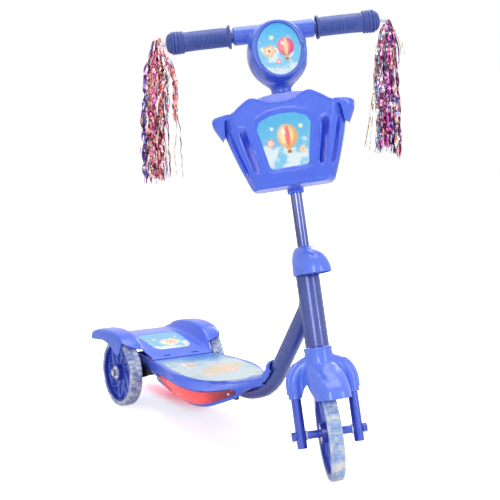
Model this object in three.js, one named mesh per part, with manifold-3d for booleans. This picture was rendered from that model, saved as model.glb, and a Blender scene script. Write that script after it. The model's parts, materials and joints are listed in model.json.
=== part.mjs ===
// A child's three wheel scooter: one steered front wheel, two rear wheels, a lit deck,
// a rear cover that works as a heel brake, a basket, a lamp-shaped head and tassels.
// Millimetres, +Z up, the scooter travels towards -Y and the rider's left is +X.

import * as THREE from 'three';
import { mergeVertices } from 'three/addons/utils/BufferGeometryUtils.js';
import Module from 'manifold-3d';

const wasm = await Module();
wasm.setup();

// Angles and counts
const rakeAngle = THREE.MathUtils.degToRad(15.3);
const steerAngle = THREE.MathUtils.degToRad(-29);
const basketAngle = THREE.MathUtils.degToRad(-10);
const sheetStartShare = 0.12;
const sheetEndShare = 0.56;
const tubeDropAngle = THREE.MathUtils.degToRad(56);
const spokeCount = 8;
const lugCount = 22;
const roundSides = 18;
const tyreSides = 22;

// Layout of the whole scooter
const wheelbase = 482;
const rearTrack = 167;
const frontWheelRadius = 67.5;
const rearWheelRadius = 58.5;
const barHeight = 576;
const barHalfLength = 154;

// Fits shared by all pieces
const seatGap = 0.3;
const runningGap = 0.12;
const overrun = 5;
const plasticWall = 2.6;

// Wheels
const frontTyreWidth = 20;
const rearTyreWidth = 23.5;
const tyreDepth = 8;
const treadInset = 2.6;
const treadChamfer = 3.4;
const lugDepth = 1.5;
const lugGrooveWidth = 2.4;
const hubSideInset = 0.9;
const rimWall = 3;
const webThickness = 3;
const ribStand = 3.4;
const ribWidth = 2.2;
const hubBossRadius = 14;
const hubBossHalf = 12.6;
const bearingRadius = 11;
const bearingWidth = 7;
const bearingBossInner = 7.5;
const axleRadius = 4;
const nutRadius = 6.4;
const nutHeight = 5.6;
const spacerRadius = 5.6;

// Fork, column and head
const legSpacing = 40.3;
const legRadius = 7;
const legBelowAxle = 17.4;
const crownHeight = 99;
const crownBend = 30;
const steererRadius = 8.5;
const steererWall = 1.9;
const steererTop = 243;
const columnRadius = 8.5;
const spigotLength = 36;
const headTubeRadius = 14.5;
const headTubeWall = 2;
const headTubeBottom = 121.5;
const headTubeTop = 228;
const bushFlange = 1.6;
const bushLength = 16;
const capBottom = 221;
const capTop = 262;
const capWall = 2.1;
const capFrontReach = 47;
const capHalfWidth = 25;
const capRearReach = 17.4;

// Fork cover
const coverTop = 118;
const coverCollarRadius = 20;
const coverCollarHeight = 24;
const shroudRadius = 10;
const shroudBottom = 51.8;
const skirtBottom = 47;
const skirtReach = 66;
const skirtHalfWidth = 25;
const notchTop = 67;
const notchHalfDepth = 33;

// Main frame
const tubeRadius = 12.7;
const tubeJoinHeight = 181;
const tubeBend = 110;
const spineHeight = 72;

// Axle bracket
const beamDepth = 20;
const beamHeight = 22;
const bracketHalfWidth = 65;
const bracketPlate = 3;
const bracketReach = 66;
const bracketRise = 25;

// Deck
const noseReach = 79.25;
const tailReach = 15;
const deckRear = wheelbase + tailReach;
const deckHalfWidth = 79;
const deckTop = 90;
const deckDepth = 42;
const noseRise = 44;
const deckEdgeRadius = 3.5;
const deckBand = 11;
const pocketReach = 73;
const pocketFront = wheelbase - pocketReach;
const pocketEndWall = 5;
const pocketRear = deckRear - pocketEndWall;
const pocketFloor = 79;
const pocketHalfWidth = 49;
const sleeveWall = 3.2;
const sheetThickness = 0.8;
const sheetInset = 9;
const sheetRear = pocketFront - pocketEndWall;
const deckRib = 2.4;
const deckRibBottom = 60;

// Lenses, light boards, battery and switch
const lensFrontInset = 44;
const lensRearReach = 90;
const lensRear = wheelbase - lensRearReach;
const lensWall = 2.2;
const lensBulge = 2.4;
const boardThickness = 1.6;
const boardWidth = 12;
const boardFrontInset = 90;
const boardSpace = 10;
const boardPlace = deckHalfWidth * 0.56;
const boardTop = deckTop - plasticWall - seatGap;
const batteryWidth = 31;
const batteryLength = 56;
const batteryHeight = 24;
const batteryReach = 144;
const batteryFront = wheelbase - batteryReach;
const batteryOffset = 33;
const boxWall = 1.6;
const cellRadius = 5.2;
const cellLength = 44.5;
const switchWidth = 12;
const switchLength = 20;
const switchHeight = 12;
const knobWidth = 4;
const knobLength = 6;
const knobHeight = 5;
const switchTravel = 4;
const boltRadius = 2.5;
const boltHeadRadius = 5;
const boltHeadHeight = 3.4;
const boltEngage = 1.2;

// Rear cover, its hinge and spring
const coverFrontReach = 70;
const coverRearReach = 106;
const fenderFrontReach = 42;
const fenderRearReach = 110;
const coverFront = wheelbase - coverFrontReach;
const coverRear = wheelbase + coverRearReach;
const fenderFront = wheelbase - fenderFrontReach;
const fenderRear = wheelbase + fenderRearReach;
const saddleHalfWidth = 52;
const fenderInner = 68;
const fenderOuter = 99.5;
const saddleFrontHeight = 91;
const saddleTopHeight = 117;
const fenderTopHeight = 131;
const fenderTailHeight = 103;
const skirtDropHeight = 92;
const hingeReach = 62;
const hingePlace = wheelbase - hingeReach;
const hingeHeight = 87.2;
const pinRadius = 1.8;
const knuckleRadius = 3.2;
const knuckleWidth = 9;
const knucklePlace = 27;
const earThickness = 3.5;
const pinReach = knucklePlace + knuckleWidth;
const coverSheetHalf = 37;
const springReach = 22;
const springPlace = wheelbase - springReach;
const springRadius = 6;
const springWire = 0.9;
const springTurns = 4;

// Basket: its heights share the room between the head cap and the lamp
const lampDrop = 36.5;
const neckDrop = 56.5;
const lampHeight = barHeight - lampDrop;
const neckBottom = lampHeight - neckDrop;
const basketRoom = neckBottom - capTop;
const basketBottom = capTop + 0.3665 * basketRoom;
const basketBack = 13;
const basketBottomReach = 57;
const basketTopReach = 86;
const basketBottomHalf = 57;
const basketTopHalf = 92;
const basketBackTop = capTop + 0.991 * basketRoom;
const basketHumpTop = capTop + 0.9367 * basketRoom;
const basketDipTop = capTop + 0.8778 * basketRoom;
const basketSideTop = capTop + 0.8733 * basketRoom;
const basketWall = 2.4;
const basketCorner = 24;
const slotWidth = 9;
const slotLowerEnd = capTop + 0.4977 * basketRoom;
const slotUpperEnd = capTop + 0.819 * basketRoom;
const lipReach = 9;
const lipDrop = 34;
const lipFront = 62;
const lipBack = 24;
const clampRadius = 13.5;
const clampHeight = 14;
const clampUpper = capTop + 0.7873 * basketRoom;
const panelBottom = capTop + 0.4842 * basketRoom;
const panelTop = capTop + 0.7647 * basketRoom;
const panelBottomMargin = 30.5;
const panelTopMargin = 55.5;
const panelBottomHalf = basketBottomHalf - panelBottomMargin;
const panelTopHalf = basketTopHalf - panelTopMargin;
const panelCorner = 7;
const panelThickness = 0.8;

// Lamp-shaped head and bars
const lampHalfWidth = 44;
const lampHalfHeight = 47;
const lampBack = 24;
const lampSplit = 12;
const lampFront = 43;
const discHalfWidth = 30.5;
const discHalfHeight = 37.2;
const discThickness = 1.6;
const discRecess = 2.4;
const neckRadius = 15;
const neckRise = 20;
const neckFlare = 7;
const sleeveRadius = 13;
const sleeveEnd = 58.6;
const barRadius = 9.5;
const gripRadius = 12.6;
const ribHeight = 1.5;
const gripStart = 63;
const flangeRadius = 15.6;
const flangeThickness = 2.2;
const bulbRadius = 15.4;
const bulbLength = 17;
const gripRibCount = 6;
const plugRadius = 3.4;
const plugReach = 11;
const tasselLength = 214;
const tasselHalfWidth = 27;
const tasselHalfDepth = 16;
const tasselOutset = 4;
const tasselTopRise = 6;

// Plain geometry helpers
function weld(geometry) {
  if (geometry.userData.welded) {
    return geometry;
  }
  const bare = geometry.clone();
  for (const name of Object.keys(bare.attributes)) {
    if (name !== 'position') {
      bare.deleteAttribute(name);
    }
  }
  return mergeVertices(bare);
}

function signedVolume(points, triangles) {
  let sum = 0;
  const a = new THREE.Vector3();
  const b = new THREE.Vector3();
  const c = new THREE.Vector3();
  for (let i = 0; i < triangles.length; i += 3) {
    a.fromArray(points, 3 * triangles[i]);
    b.fromArray(points, 3 * triangles[i + 1]);
    c.fromArray(points, 3 * triangles[i + 2]);
    sum += a.dot(b.cross(c));
  }
  return sum;
}

function solid(geometry) {
  const welded = weld(geometry);
  const points = welded.attributes.position.array;
  const index = welded.index.array;
  const triangles = [];
  for (let i = 0; i < index.length; i += 3) {
    const [a, b, c] = [index[i], index[i + 1], index[i + 2]];
    if (a !== b && b !== c && c !== a) {
      triangles.push(a, b, c);
    }
  }
  if (signedVolume(points, triangles) < 0) {
    triangles.reverse();
  }
  return new wasm.Manifold(new wasm.Mesh({
    numProp: 3,
    vertProperties: new Float32Array(points),
    triVerts: new Uint32Array(triangles),
  }));
}

function shape(body) {
  const mesh = body.getMesh();
  const geometry = new THREE.BufferGeometry();
  const points = new Float32Array((mesh.vertProperties.length / mesh.numProp) * 3);
  for (let i = 0; i < points.length / 3; i += 1) {
    for (let k = 0; k < 3; k += 1) {
      points[3 * i + k] = mesh.vertProperties[mesh.numProp * i + k];
    }
  }
  geometry.setAttribute('position', new THREE.BufferAttribute(points, 3));
  geometry.setIndex(new THREE.BufferAttribute(new Uint32Array(mesh.triVerts), 1));
  geometry.userData.welded = true;
  return geometry;
}

function join(...geometries) {
  return shape(geometries.map(solid).reduce((sum, next) => sum.add(next)));
}

function cut(body, ...tools) {
  return shape(tools.map(solid).reduce((rest, tool) => rest.subtract(tool), solid(body)));
}

function common(body, tool) {
  return shape(solid(body).intersect(solid(tool)));
}

function block(low, high) {
  const size = new THREE.Vector3().subVectors(high, low);
  const middle = new THREE.Vector3().addVectors(low, high).multiplyScalar(0.5);
  return new THREE.BoxGeometry(size.x, size.y, size.z).translate(middle.x, middle.y, middle.z);
}

function at(x, y, z) {
  return new THREE.Vector3(x, y, z);
}

function turnTo(geometry, direction) {
  const up = at(0, 1, 0);
  return geometry.applyQuaternion(new THREE.Quaternion().setFromUnitVectors(up, direction));
}

function rod(radius, from, to, sides = roundSides) {
  const along = new THREE.Vector3().subVectors(to, from);
  const middle = new THREE.Vector3().addVectors(from, to).multiplyScalar(0.5);
  const geometry = new THREE.CylinderGeometry(radius, radius, along.length(), sides);
  turnTo(geometry, along.normalize());
  return geometry.translate(middle.x, middle.y, middle.z);
}

// A turned piece: the profile lists [radius, place along the axis] and closes on itself
function turned(profile, direction, origin, sides = roundSides) {
  const points = profile.map(([radius, along]) => new THREE.Vector2(radius, along));
  const onAxis = profile[0][0] === 0;
  if (!onAxis) {
    points.push(points[0].clone());
  }
  const geometry = new THREE.LatheGeometry(points, sides);
  turnTo(geometry, direction);
  return geometry.translate(origin.x, origin.y, origin.z);
}

function tubeRing(outer, inner, from, to, direction, origin, sides = roundSides) {
  return turned([[inner, from], [outer, from], [outer, to], [inner, to]], direction, origin, sides);
}

// A bore's corners stand further out, so that its flats clear a round shaft by the gap
function boreRadius(shaft, gap, sides = roundSides) {
  return (shaft + gap) / Math.cos(Math.PI / sides);
}

function circle(radius, sides) {
  const points = [];
  for (let i = 0; i < sides; i += 1) {
    const angle = (2 * Math.PI * i) / sides;
    points.push(new THREE.Vector2(radius * Math.cos(angle), radius * Math.sin(angle)));
  }
  return new THREE.Shape(points);
}

function sweep(path, radius, steps, sides = 16) {
  return new THREE.ExtrudeGeometry(circle(radius, sides), { steps, extrudePath: path, bevelEnabled: false });
}

// Straight prism of a flat outline, from one depth to another along a chosen axis
function prism(outline, from, to, axis) {
  const flat = new THREE.Shape(outline.map(([a, b]) => new THREE.Vector2(a, b)));
  const geometry = new THREE.ExtrudeGeometry(flat, { depth: to - from, bevelEnabled: false });
  geometry.translate(0, 0, from);
  if (axis === 'x') {
    geometry.applyMatrix4(new THREE.Matrix4().makeBasis(at(0, 1, 0), at(0, 0, 1), at(1, 0, 0)));
  }
  if (axis === 'y') {
    geometry.applyMatrix4(new THREE.Matrix4().makeBasis(at(1, 0, 0), at(0, 0, 1), at(0, -1, 0)));
  }
  return geometry;
}

function mesh3(points, triangles) {
  const geometry = new THREE.BufferGeometry();
  const places = points.flatMap((point) => [point.x, point.y, point.z]);
  geometry.setAttribute('position', new THREE.Float32BufferAttribute(places, 3));
  geometry.setIndex(triangles);
  return geometry;
}

// A skin through rings of equal length, closed by a fan at each end
function loft(rings) {
  const count = rings[0].length;
  const points = rings.flat();
  const triangles = [];
  for (let i = 0; i + 1 < rings.length; i += 1) {
    for (let j = 0; j < count; j += 1) {
      const next = (j + 1) % count;
      const [a, b] = [i * count + j, i * count + next];
      triangles.push(a, b, b + count, a, b + count, a + count);
    }
  }
  for (const [ring, flip] of [[0, true], [rings.length - 1, false]]) {
    const middle = rings[ring].reduce((sum, point) => sum.add(point), at(0, 0, 0));
    points.push(middle.divideScalar(count));
    for (let j = 0; j < count; j += 1) {
      const [a, b] = [ring * count + j, ring * count + ((j + 1) % count)];
      triangles.push(...(flip ? [b, a, points.length - 1] : [a, b, points.length - 1]));
    }
  }
  return mesh3(points, triangles);
}

// A plate between two grids of the same size: grid[i][j] is a point
function plate(outer, inner) {
  const rows = outer.length;
  const columns = outer[0].length;
  const points = [...outer.flat(), ...inner.flat()];
  const offset = rows * columns;
  const triangles = [];
  const quad = (a, b, c, d) => triangles.push(a, b, c, a, c, d);
  for (let i = 0; i + 1 < rows; i += 1) {
    for (let j = 0; j + 1 < columns; j += 1) {
      const a = i * columns + j;
      quad(a, a + 1, a + columns + 1, a + columns);
      quad(offset + a, offset + a + columns, offset + a + columns + 1, offset + a + 1);
    }
  }
  const edge = [];
  for (let j = 0; j < columns; j += 1) {
    edge.push(j);
  }
  for (let i = 1; i < rows; i += 1) {
    edge.push(i * columns + columns - 1);
  }
  for (let j = columns - 2; j >= 0; j -= 1) {
    edge.push((rows - 1) * columns + j);
  }
  for (let i = rows - 2; i > 0; i -= 1) {
    edge.push(i * columns);
  }
  for (let k = 0; k < edge.length; k += 1) {
    const a = edge[k];
    const b = edge[(k + 1) % edge.length];
    quad(b, a, offset + a, offset + b);
  }
  return mesh3(points, triangles);
}

// The second grid of a plate: each point moved along the grid's own normal
function offsetGrid(grid, distance) {
  const clampTo = (value, last) => Math.min(Math.max(value, 0), last);
  return grid.map((row, i) => row.map((point, j) => {
    const before = grid[clampTo(i - 1, grid.length - 1)][j];
    const after = grid[clampTo(i + 1, grid.length - 1)][j];
    const left = row[clampTo(j - 1, row.length - 1)];
    const right = row[clampTo(j + 1, row.length - 1)];
    const along = new THREE.Vector3().subVectors(after, before);
    const across = new THREE.Vector3().subVectors(right, left);
    return new THREE.Vector3().crossVectors(along, across).setLength(distance).add(point);
  }));
}

// A smooth value between the rows of a table, by the place in its first column
function smooth(rows, place, column) {
  let i = 0;
  while (i + 2 < rows.length && place > rows[i + 1][0]) {
    i += 1;
  }
  const [p1, p2] = [rows[i], rows[i + 1]];
  const p0 = rows[Math.max(i - 1, 0)];
  const p3 = rows[Math.min(i + 2, rows.length - 1)];
  const span = p2[0] - p1[0];
  const t = Math.min(Math.max((place - p1[0]) / span, 0), 1);
  const m1 = p2 === p0 ? 0 : ((p2[column] - p0[column]) / (p2[0] - p0[0])) * span;
  const m2 = p3 === p1 ? 0 : ((p3[column] - p1[column]) / (p3[0] - p1[0])) * span;
  return (2 * t ** 3 - 3 * t ** 2 + 1) * p1[column] + (t ** 3 - 2 * t ** 2 + t) * m1
    + (3 * t ** 2 - 2 * t ** 3) * p2[column] + (t ** 3 - t ** 2) * m2;
}

function range(count) {
  return Array.from({ length: count }, (_, i) => i);
}

// Materials
function finish(color, roughness, metalness = 0) {
  return new THREE.MeshStandardMaterial({ color, roughness, metalness });
}

const plasticBlue = finish('#5f7bf5', 0.28);
const paintBlue = finish('#4f5aa6', 0.3, 0.4);
const columnBlue = finish('#3c4488', 0.15, 0.85);
const hubBlue = finish('#2a45b5', 0.35);
const clearTyre = finish('#b9cdea', 0.3);
const gripBlue = finish('#4557a4', 0.55);
const blackSteel = finish('#16171b', 0.5, 0.3);
const brightSteel = finish('#c9ccd2', 0.2, 1);
const redLens = finish('#f0474a', 0.2);
const printedSky = finish('#57bdea', 0.4);
const boardGreen = finish('#1f6b4c', 0.6);
const darkPlastic = finish('#22252c', 0.5);
const cellFinish = finish('#b08a3e', 0.35, 0.6);
const foilPink = finish('#c0268a', 0.25, 0.6);
const clearPlastic = finish('#dfe6ee', 0.3);

const scooter = new THREE.Group();
const raked = new THREE.Group();
const steered = new THREE.Group();
const basketTurn = new THREE.Group();

// The wheel leans with the raked, turned fork, so its axle sits a little lower
const leanSine = Math.sin(rakeAngle) * Math.abs(Math.sin(steerAngle));
const frontTreadHalf = frontTyreWidth / 2 - treadInset;
const frontAxleHeight = frontWheelRadius * Math.sqrt(1 - leanSine ** 2) + frontTreadHalf * leanSine;
raked.position.set(0, 0, frontAxleHeight);
raked.rotation.x = -rakeAngle;
steered.rotation.z = steerAngle;
basketTurn.rotation.z = basketAngle;
scooter.add(raked);
raked.add(steered);
steered.add(basketTurn);
scooter.updateMatrixWorld(true);

function piece(name, geometry, material, parent = scooter) {
  const body = new THREE.Mesh(shape(solid(geometry)), material);
  body.name = name;
  parent.add(body);
}

const alongX = at(1, 0, 0);
const alongY = at(0, 1, 0);
const alongZ = at(0, 0, 1);
const here = at(0, 0, 0);

// Wheels, built about the origin with the axle along X, then set in place
function ribbon(points, width) {
  const left = [];
  const right = [];
  points.forEach(([x, y], i) => {
    const [bx, by] = points[Math.max(i - 1, 0)];
    const [ax, ay] = points[Math.min(i + 1, points.length - 1)];
    const length = Math.hypot(ax - bx, ay - by);
    const [nx, ny] = [-(ay - by) / length, (ax - bx) / length];
    left.push([x + (nx * width) / 2, y + (ny * width) / 2]);
    right.unshift([x - (nx * width) / 2, y - (ny * width) / 2]);
  });
  return [...left, ...right];
}

// One curved rib that leaves the boss and forks into two before the rim
function spokeRibs(innerRadius, outerRadius, startAngle, half) {
  const forkShare = 0.42;
  const stemTurn = 0.32;
  const branchTurns = [0.52, -0.18];
  const polar = (share, turn) => {
    const radius = innerRadius + share * (outerRadius - innerRadius);
    return [radius * Math.cos(startAngle + turn), radius * Math.sin(startAngle + turn)];
  };
  const strip = (fromShare, toShare, fromTurn, toTurn) => {
    const points = [polar(fromShare, fromTurn), polar(toShare, toTurn)];
    return prism(ribbon(points, ribWidth), -half, half, 'x');
  };
  const rootShare = -0.06;
  const tipShare = 1.02;
  return [
    strip(rootShare, forkShare, 0, stemTurn),
    ...branchTurns.map((turn) => strip(forkShare - 0.05, tipShare, stemTurn - 0.02, stemTurn + turn)),
  ];
}

function hub(wheelRadius, tyreWidth) {
  const rimRadius = wheelRadius - tyreDepth - seatGap;
  const rimInner = rimRadius - rimWall;
  const half = tyreWidth / 2 - hubSideInset;
  const web = webThickness / 2;
  const seat = bearingRadius + runningGap;
  const seatEnd = hubBossHalf - bearingWidth;
  const profile = [
    [seat, -hubBossHalf], [hubBossRadius, -hubBossHalf], [hubBossRadius, -web], [rimInner, -web],
    [rimInner, -half], [rimRadius, -half], [rimRadius, half], [rimInner, half], [rimInner, web],
    [hubBossRadius, web], [hubBossRadius, hubBossHalf], [seat, hubBossHalf], [seat, seatEnd],
    [bearingBossInner, seatEnd], [bearingBossInner, -seatEnd], [seat, -seatEnd],
  ];
  const body = turned(profile, alongX, here, tyreSides);
  const ribs = range(spokeCount).flatMap((i) => {
    const start = (2 * Math.PI * i) / spokeCount;
    return spokeRibs(hubBossRadius, rimInner, start, web + ribStand);
  });
  return join(body, ...ribs);
}

function tyre(wheelRadius, tyreWidth, middleGroove) {
  const half = tyreWidth / 2;
  const inner = wheelRadius - tyreDepth;
  const tread = half - treadInset;
  const groove = lugGrooveWidth / 2;
  const middle = [
    [wheelRadius, -groove], [wheelRadius - lugDepth, -groove],
    [wheelRadius - lugDepth, groove], [wheelRadius, groove],
  ];
  const profile = [
    [inner, -half], [wheelRadius - treadChamfer, -half], [wheelRadius, -tread],
    ...(middleGroove ? middle : []),
    [wheelRadius, tread], [wheelRadius - treadChamfer, half], [inner, half],
  ];
  const body = turned(profile, alongX, here, tyreSides);
  const grooves = range(lugCount).map((i) => {
    const bar = block(
      at(-half - overrun, -lugGrooveWidth / 2, wheelRadius - lugDepth),
      at(half + overrun, lugGrooveWidth / 2, wheelRadius + overrun),
    );
    return bar.rotateX((2 * Math.PI * (i + 0.5)) / lugCount);
  });
  return cut(body, ...grooves);
}

function wheel(prefix, wheelRadius, tyreWidth, middleGroove, parent, place) {
  const moved = (geometry) => geometry.translate(place.x, place.y, place.z);
  piece(`${prefix}_hub`, moved(hub(wheelRadius, tyreWidth)), hubBlue, parent);
  piece(`${prefix}_tyre`, moved(tyre(wheelRadius, tyreWidth, middleGroove)), clearTyre, parent);
  const bore = boreRadius(axleRadius, runningGap, 12);
  for (const [side, name] of [[-1, 'right'], [1, 'left']]) {
    const outer = side * hubBossHalf;
    const inner = side * (hubBossHalf - bearingWidth + runningGap);
    const [from, to] = [Math.min(outer, inner), Math.max(outer, inner)];
    const ring = tubeRing(bearingRadius, bore, from, to, alongX, place, 12);
    piece(`${prefix}_bearing_${name}`, ring, brightSteel, parent);
  }
}

function nut(from, to, origin) {
  return tubeRing(nutRadius, boreRadius(axleRadius, runningGap, 6), from, to, alongX, origin, 6);
}

// The two rear wheels, their axle, spacers and nuts
const rearAxle = at(0, wheelbase, rearWheelRadius);
const rearSides = [[-1, 'right'], [1, 'left']];
const spacerInner = bracketHalfWidth + seatGap;
const rearBossInner = rearTrack / 2 - hubBossHalf;
const rearBossOuter = rearTrack / 2 + hubBossHalf;
const spacerBore = boreRadius(axleRadius, runningGap, 12);
for (const [side, name] of rearSides) {
  const place = at((side * rearTrack) / 2, wheelbase, rearWheelRadius);
  wheel(`rear_wheel_${name}`, rearWheelRadius, rearTyreWidth, false, scooter, place);
  const ends = [side * spacerInner, side * (rearBossInner - seatGap)].sort((a, b) => a - b);
  const spacer = tubeRing(spacerRadius, spacerBore, ...ends, alongX, rearAxle, 12);
  piece(`rear_spacer_${name}`, spacer, brightSteel);
  const nutEnds = [side * (rearBossOuter + seatGap), side * (rearBossOuter + seatGap + nutHeight)];
  piece(`rear_nut_${name}`, nut(...nutEnds.sort((a, b) => a - b), rearAxle), brightSteel);
}
const axleReach = rearBossOuter + nutHeight + 2 * seatGap;
const axleStart = at(-axleReach, wheelbase, rearWheelRadius);
const axleEnd = at(axleReach, wheelbase, rearWheelRadius);
piece('rear_axle', rod(axleRadius, axleStart, axleEnd), brightSteel);

// Black bracket: a cross beam with a plate at each end, drilled for the axle
function axleBracket() {
  const low = rearWheelRadius - beamHeight / 2;
  const high = low + beamHeight;
  const front = wheelbase - beamDepth / 2;
  const back = wheelbase + beamDepth / 2;
  const beam = block(at(-bracketHalfWidth, front, low), at(bracketHalfWidth, back, high));
  const plateEdge = [
    [back, low], [back, high], [front, high + beamHeight / 5],
    [back - bracketReach, low + bracketRise + beamHeight / 5], [back - bracketReach, low + bracketRise / 2],
    [front - beamDepth / 2, low],
  ];
  const plates = rearSides.map(([side]) => {
    const ends = [side * bracketHalfWidth, side * (bracketHalfWidth - bracketPlate)].sort((a, b) => a - b);
    return prism(plateEdge, ...ends, 'x');
  });
  const bore = rod(
    axleRadius + runningGap,
    at(-bracketHalfWidth - overrun, wheelbase, rearWheelRadius),
    at(bracketHalfWidth + overrun, wheelbase, rearWheelRadius),
  );
  return cut(join(beam, ...plates), bore);
}
piece('axle_bracket', axleBracket(), blackSteel);

// Points on the steering axis, by their height above the front axle
function onAxis(height) {
  const middle = at(0, 0, frontAxleHeight);
  return middle.add(at(0, Math.sin(rakeAngle), Math.cos(rakeAngle)).multiplyScalar(height));
}

// The bent tube: down from the head tube, round the bend and back under the deck
const tubeStart = onAxis(tubeJoinHeight);
const bendStart = at(0, 0, spineHeight + tubeBend * (1 - Math.cos(tubeDropAngle)));
bendStart.y = tubeStart.y + (tubeStart.z - bendStart.z) / Math.tan(tubeDropAngle);
const bendEnd = at(0, bendStart.y + tubeBend * Math.sin(tubeDropAngle), spineHeight);
const spineEnd = at(0, wheelbase - beamDepth / 2 - seatGap, spineHeight);

function bendPoint(angle) {
  return at(0, bendEnd.y - tubeBend * Math.sin(angle), spineHeight + tubeBend * (1 - Math.cos(angle)));
}

// Round tube through the straight, the bend and the spine, as rings square to its path
function bentTube(radius, from, to, sides = 16) {
  const bendSteps = 6;
  const stations = [[from, tubeDropAngle]];
  for (let i = 0; i <= bendSteps; i += 1) {
    const angle = tubeDropAngle * (1 - i / bendSteps);
    stations.push([bendPoint(angle), angle]);
  }
  stations.push([to, 0]);
  return loft(stations.map(([middle, angle]) => range(sides).map((k) => {
    const turn = (2 * Math.PI * k) / sides;
    const up = radius * Math.sin(turn);
    return at(
      radius * Math.cos(turn),
      middle.y + up * Math.sin(angle),
      middle.z + up * Math.cos(angle),
    );
  })));
}

const lensFront = bendEnd.y - noseReach + lensFrontInset;
const boardFront = bendEnd.y - noseReach + boardFrontInset;
const boardLength = batteryFront - boardFront - boardSpace;
const deckBoltPlaces = [boardFront + overrun * 2, batteryFront + batteryLength / 2];
const headInner = headTubeRadius - headTubeWall;
const rakedUp = at(0, Math.sin(rakeAngle), Math.cos(rakeAngle));
const axisFoot = onAxis(0);

function mainFrame() {
  const headTube = rod(headTubeRadius, onAxis(headTubeBottom), onAxis(headTubeTop));
  const bore = rod(headInner, onAxis(headTubeBottom - overrun), onAxis(headTubeTop + overrun));
  const boltBores = deckBoltPlaces.map((y) => rod(
    boltRadius + seatGap,
    at(0, y, spineHeight - tubeRadius - overrun),
    at(0, y, spineHeight + tubeRadius + overrun),
    12,
  ));
  return cut(join(headTube, bentTube(tubeRadius, tubeStart, spineEnd)), bore, ...boltBores);
}
piece('main_frame', mainFrame(), paintBlue);

// Head bushes: a flange against each end of the head tube and a sleeve inside it
function headBush(end, side) {
  const bore = boreRadius(steererRadius, runningGap, 16);
  const sleeve = headInner * Math.cos(Math.PI / roundSides) - runningGap;
  const flange = headTubeRadius - headTubeWall / 4;
  const face = end + side * seatGap / 2;
  const profile = [
    [bore, face + side * bushFlange], [flange, face + side * bushFlange], [flange, face],
    [sleeve, face], [sleeve, face - side * bushLength], [bore, face - side * bushLength],
  ];
  return turned(profile, rakedUp, axisFoot, 16);
}
piece('head_bush_lower', headBush(headTubeBottom, -1), darkPlastic);
piece('head_bush_upper', headBush(headTubeTop, 1), darkPlastic);

// Deck: half width, top and underside along its length
const deckFront = bendEnd.y - noseReach;
const deckLength = deckRear - deckFront;
const deckShares = [
  [0, 0.24, 0.92, -1.12],
  [0.05, 0.34, 0.68, -0.92],
  [0.1, 0.46, 0.47, -0.7],
  [0.15, 0.62, 0.27, -0.42],
  [0.21, 0.81, 0.1, -0.15],
  [0.28, 0.94, 0.02, 0.1],
  [0.36, 1, 0, 0.22],
  [0.45, 1, 0, 0.24],
  [0.56, 0.94, 0, 0.21],
  [0.68, 0.84, 0, 0.12],
  [0.78, 0.77, 0, 0],
  [0.88, 0.73, 0.08, -0.1],
  [1, 0.71, 0.13, -0.14],
];

function deckAt(y) {
  const share = (y - deckFront) / deckLength;
  const width = deckHalfWidth * smooth(deckShares, share, 1);
  const top = deckTop + noseRise * smooth(deckShares, share, 2);
  const bottom = deckTop - deckDepth * (0.76 + smooth(deckShares, share, 3));
  return { width, top, bottom };
}

// A point of the deck's flank: t runs from the band (0) to the keel edge (1)
function deckFlank(y, t, out = 0) {
  const { width, top, bottom } = deckAt(y);
  const keelInsetShare = 0.36;
  const inset = keelInsetShare * width;
  const height = Math.max(top - deckBand - bottom, deckEdgeRadius);
  const angle = (t * Math.PI) / 2;
  const normal = new THREE.Vector2(Math.cos(angle) / inset, Math.sin(angle) / height).setLength(out);
  const x = width - inset + inset * Math.cos(angle) + normal.x;
  const z = top - deckBand - height * Math.sin(angle) - normal.y;
  return new THREE.Vector2(x, z);
}

function deckRing(y, inward, topLimit = Infinity) {
  const { width, top, bottom } = deckAt(y);
  const high = Math.min(top - inward, topLimit);
  const half = [[0, high], [width - deckEdgeRadius - inward, high]];
  const edge = deckEdgeRadius;
  half.push([width - edge * 0.3 - inward, high - edge * 0.3], [width - inward, high - edge]);
  for (const t of [0, 0.4, 0.75, 1]) {
    const point = deckFlank(y, t, -inward);
    half.push([point.x, Math.min(point.y, high - edge - edge * t - seatGap)]);
  }
  const drop = inward > 0 ? overrun : 0;
  half.push([deckFlank(y, 1).x - inward, bottom - drop], [0, bottom - drop]);
  const right = half.map(([x, z]) => at(x, y, z));
  const left = half.slice(1, -1).reverse().map(([x, z]) => at(-x, y, z));
  return [...right, ...left];
}

function deckLoft(from, to, steps, inward, topLimit) {
  return loft(range(steps + 1).map((i) => deckRing(from + ((to - from) * i) / steps, inward, topLimit)));
}

// A band of the flank between two t values, from inner to outer offset, tapered at both ends
function flankBand(from, to, grow, innerOut, outerOut, side) {
  const steps = 8;
  const rings = range(steps + 1).map((i) => {
    const share = i / steps;
    const y = from + (to - from) * share;
    const fullness = Math.sin(Math.PI * share) ** 0.55;
    const middleShare = 0.34 + 0.16 * Math.sin(Math.PI * share);
    const { top, bottom } = deckAt(y);
    const growShare = grow / (top - deckBand - bottom);
    const spread = 0.1 + 0.34 * fullness + growShare;
    const bulge = outerOut * (0.25 + 0.75 * fullness);
    const stationShares = [-1, -0.4, 0.4, 1];
    const outer = stationShares.map((s) => deckFlank(y, middleShare + s * spread, bulge));
    const inner = [...stationShares].reverse().map((s) => deckFlank(y, middleShare + s * spread, innerOut));
    return [...outer, ...inner].map((point) => at(side * point.x, y, point.y));
  });
  return loft(rings);
}

function lens(side) {
  return flankBand(lensFront, lensRear, 0, -lensWall, lensBulge, side);
}

function lensSeat(side) {
  const reach = seatGap + lensWall;
  return flankBand(lensFront - seatGap * 4, lensRear + seatGap * 4, seatGap * 2, -reach, overrun * 2, side);
}

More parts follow.
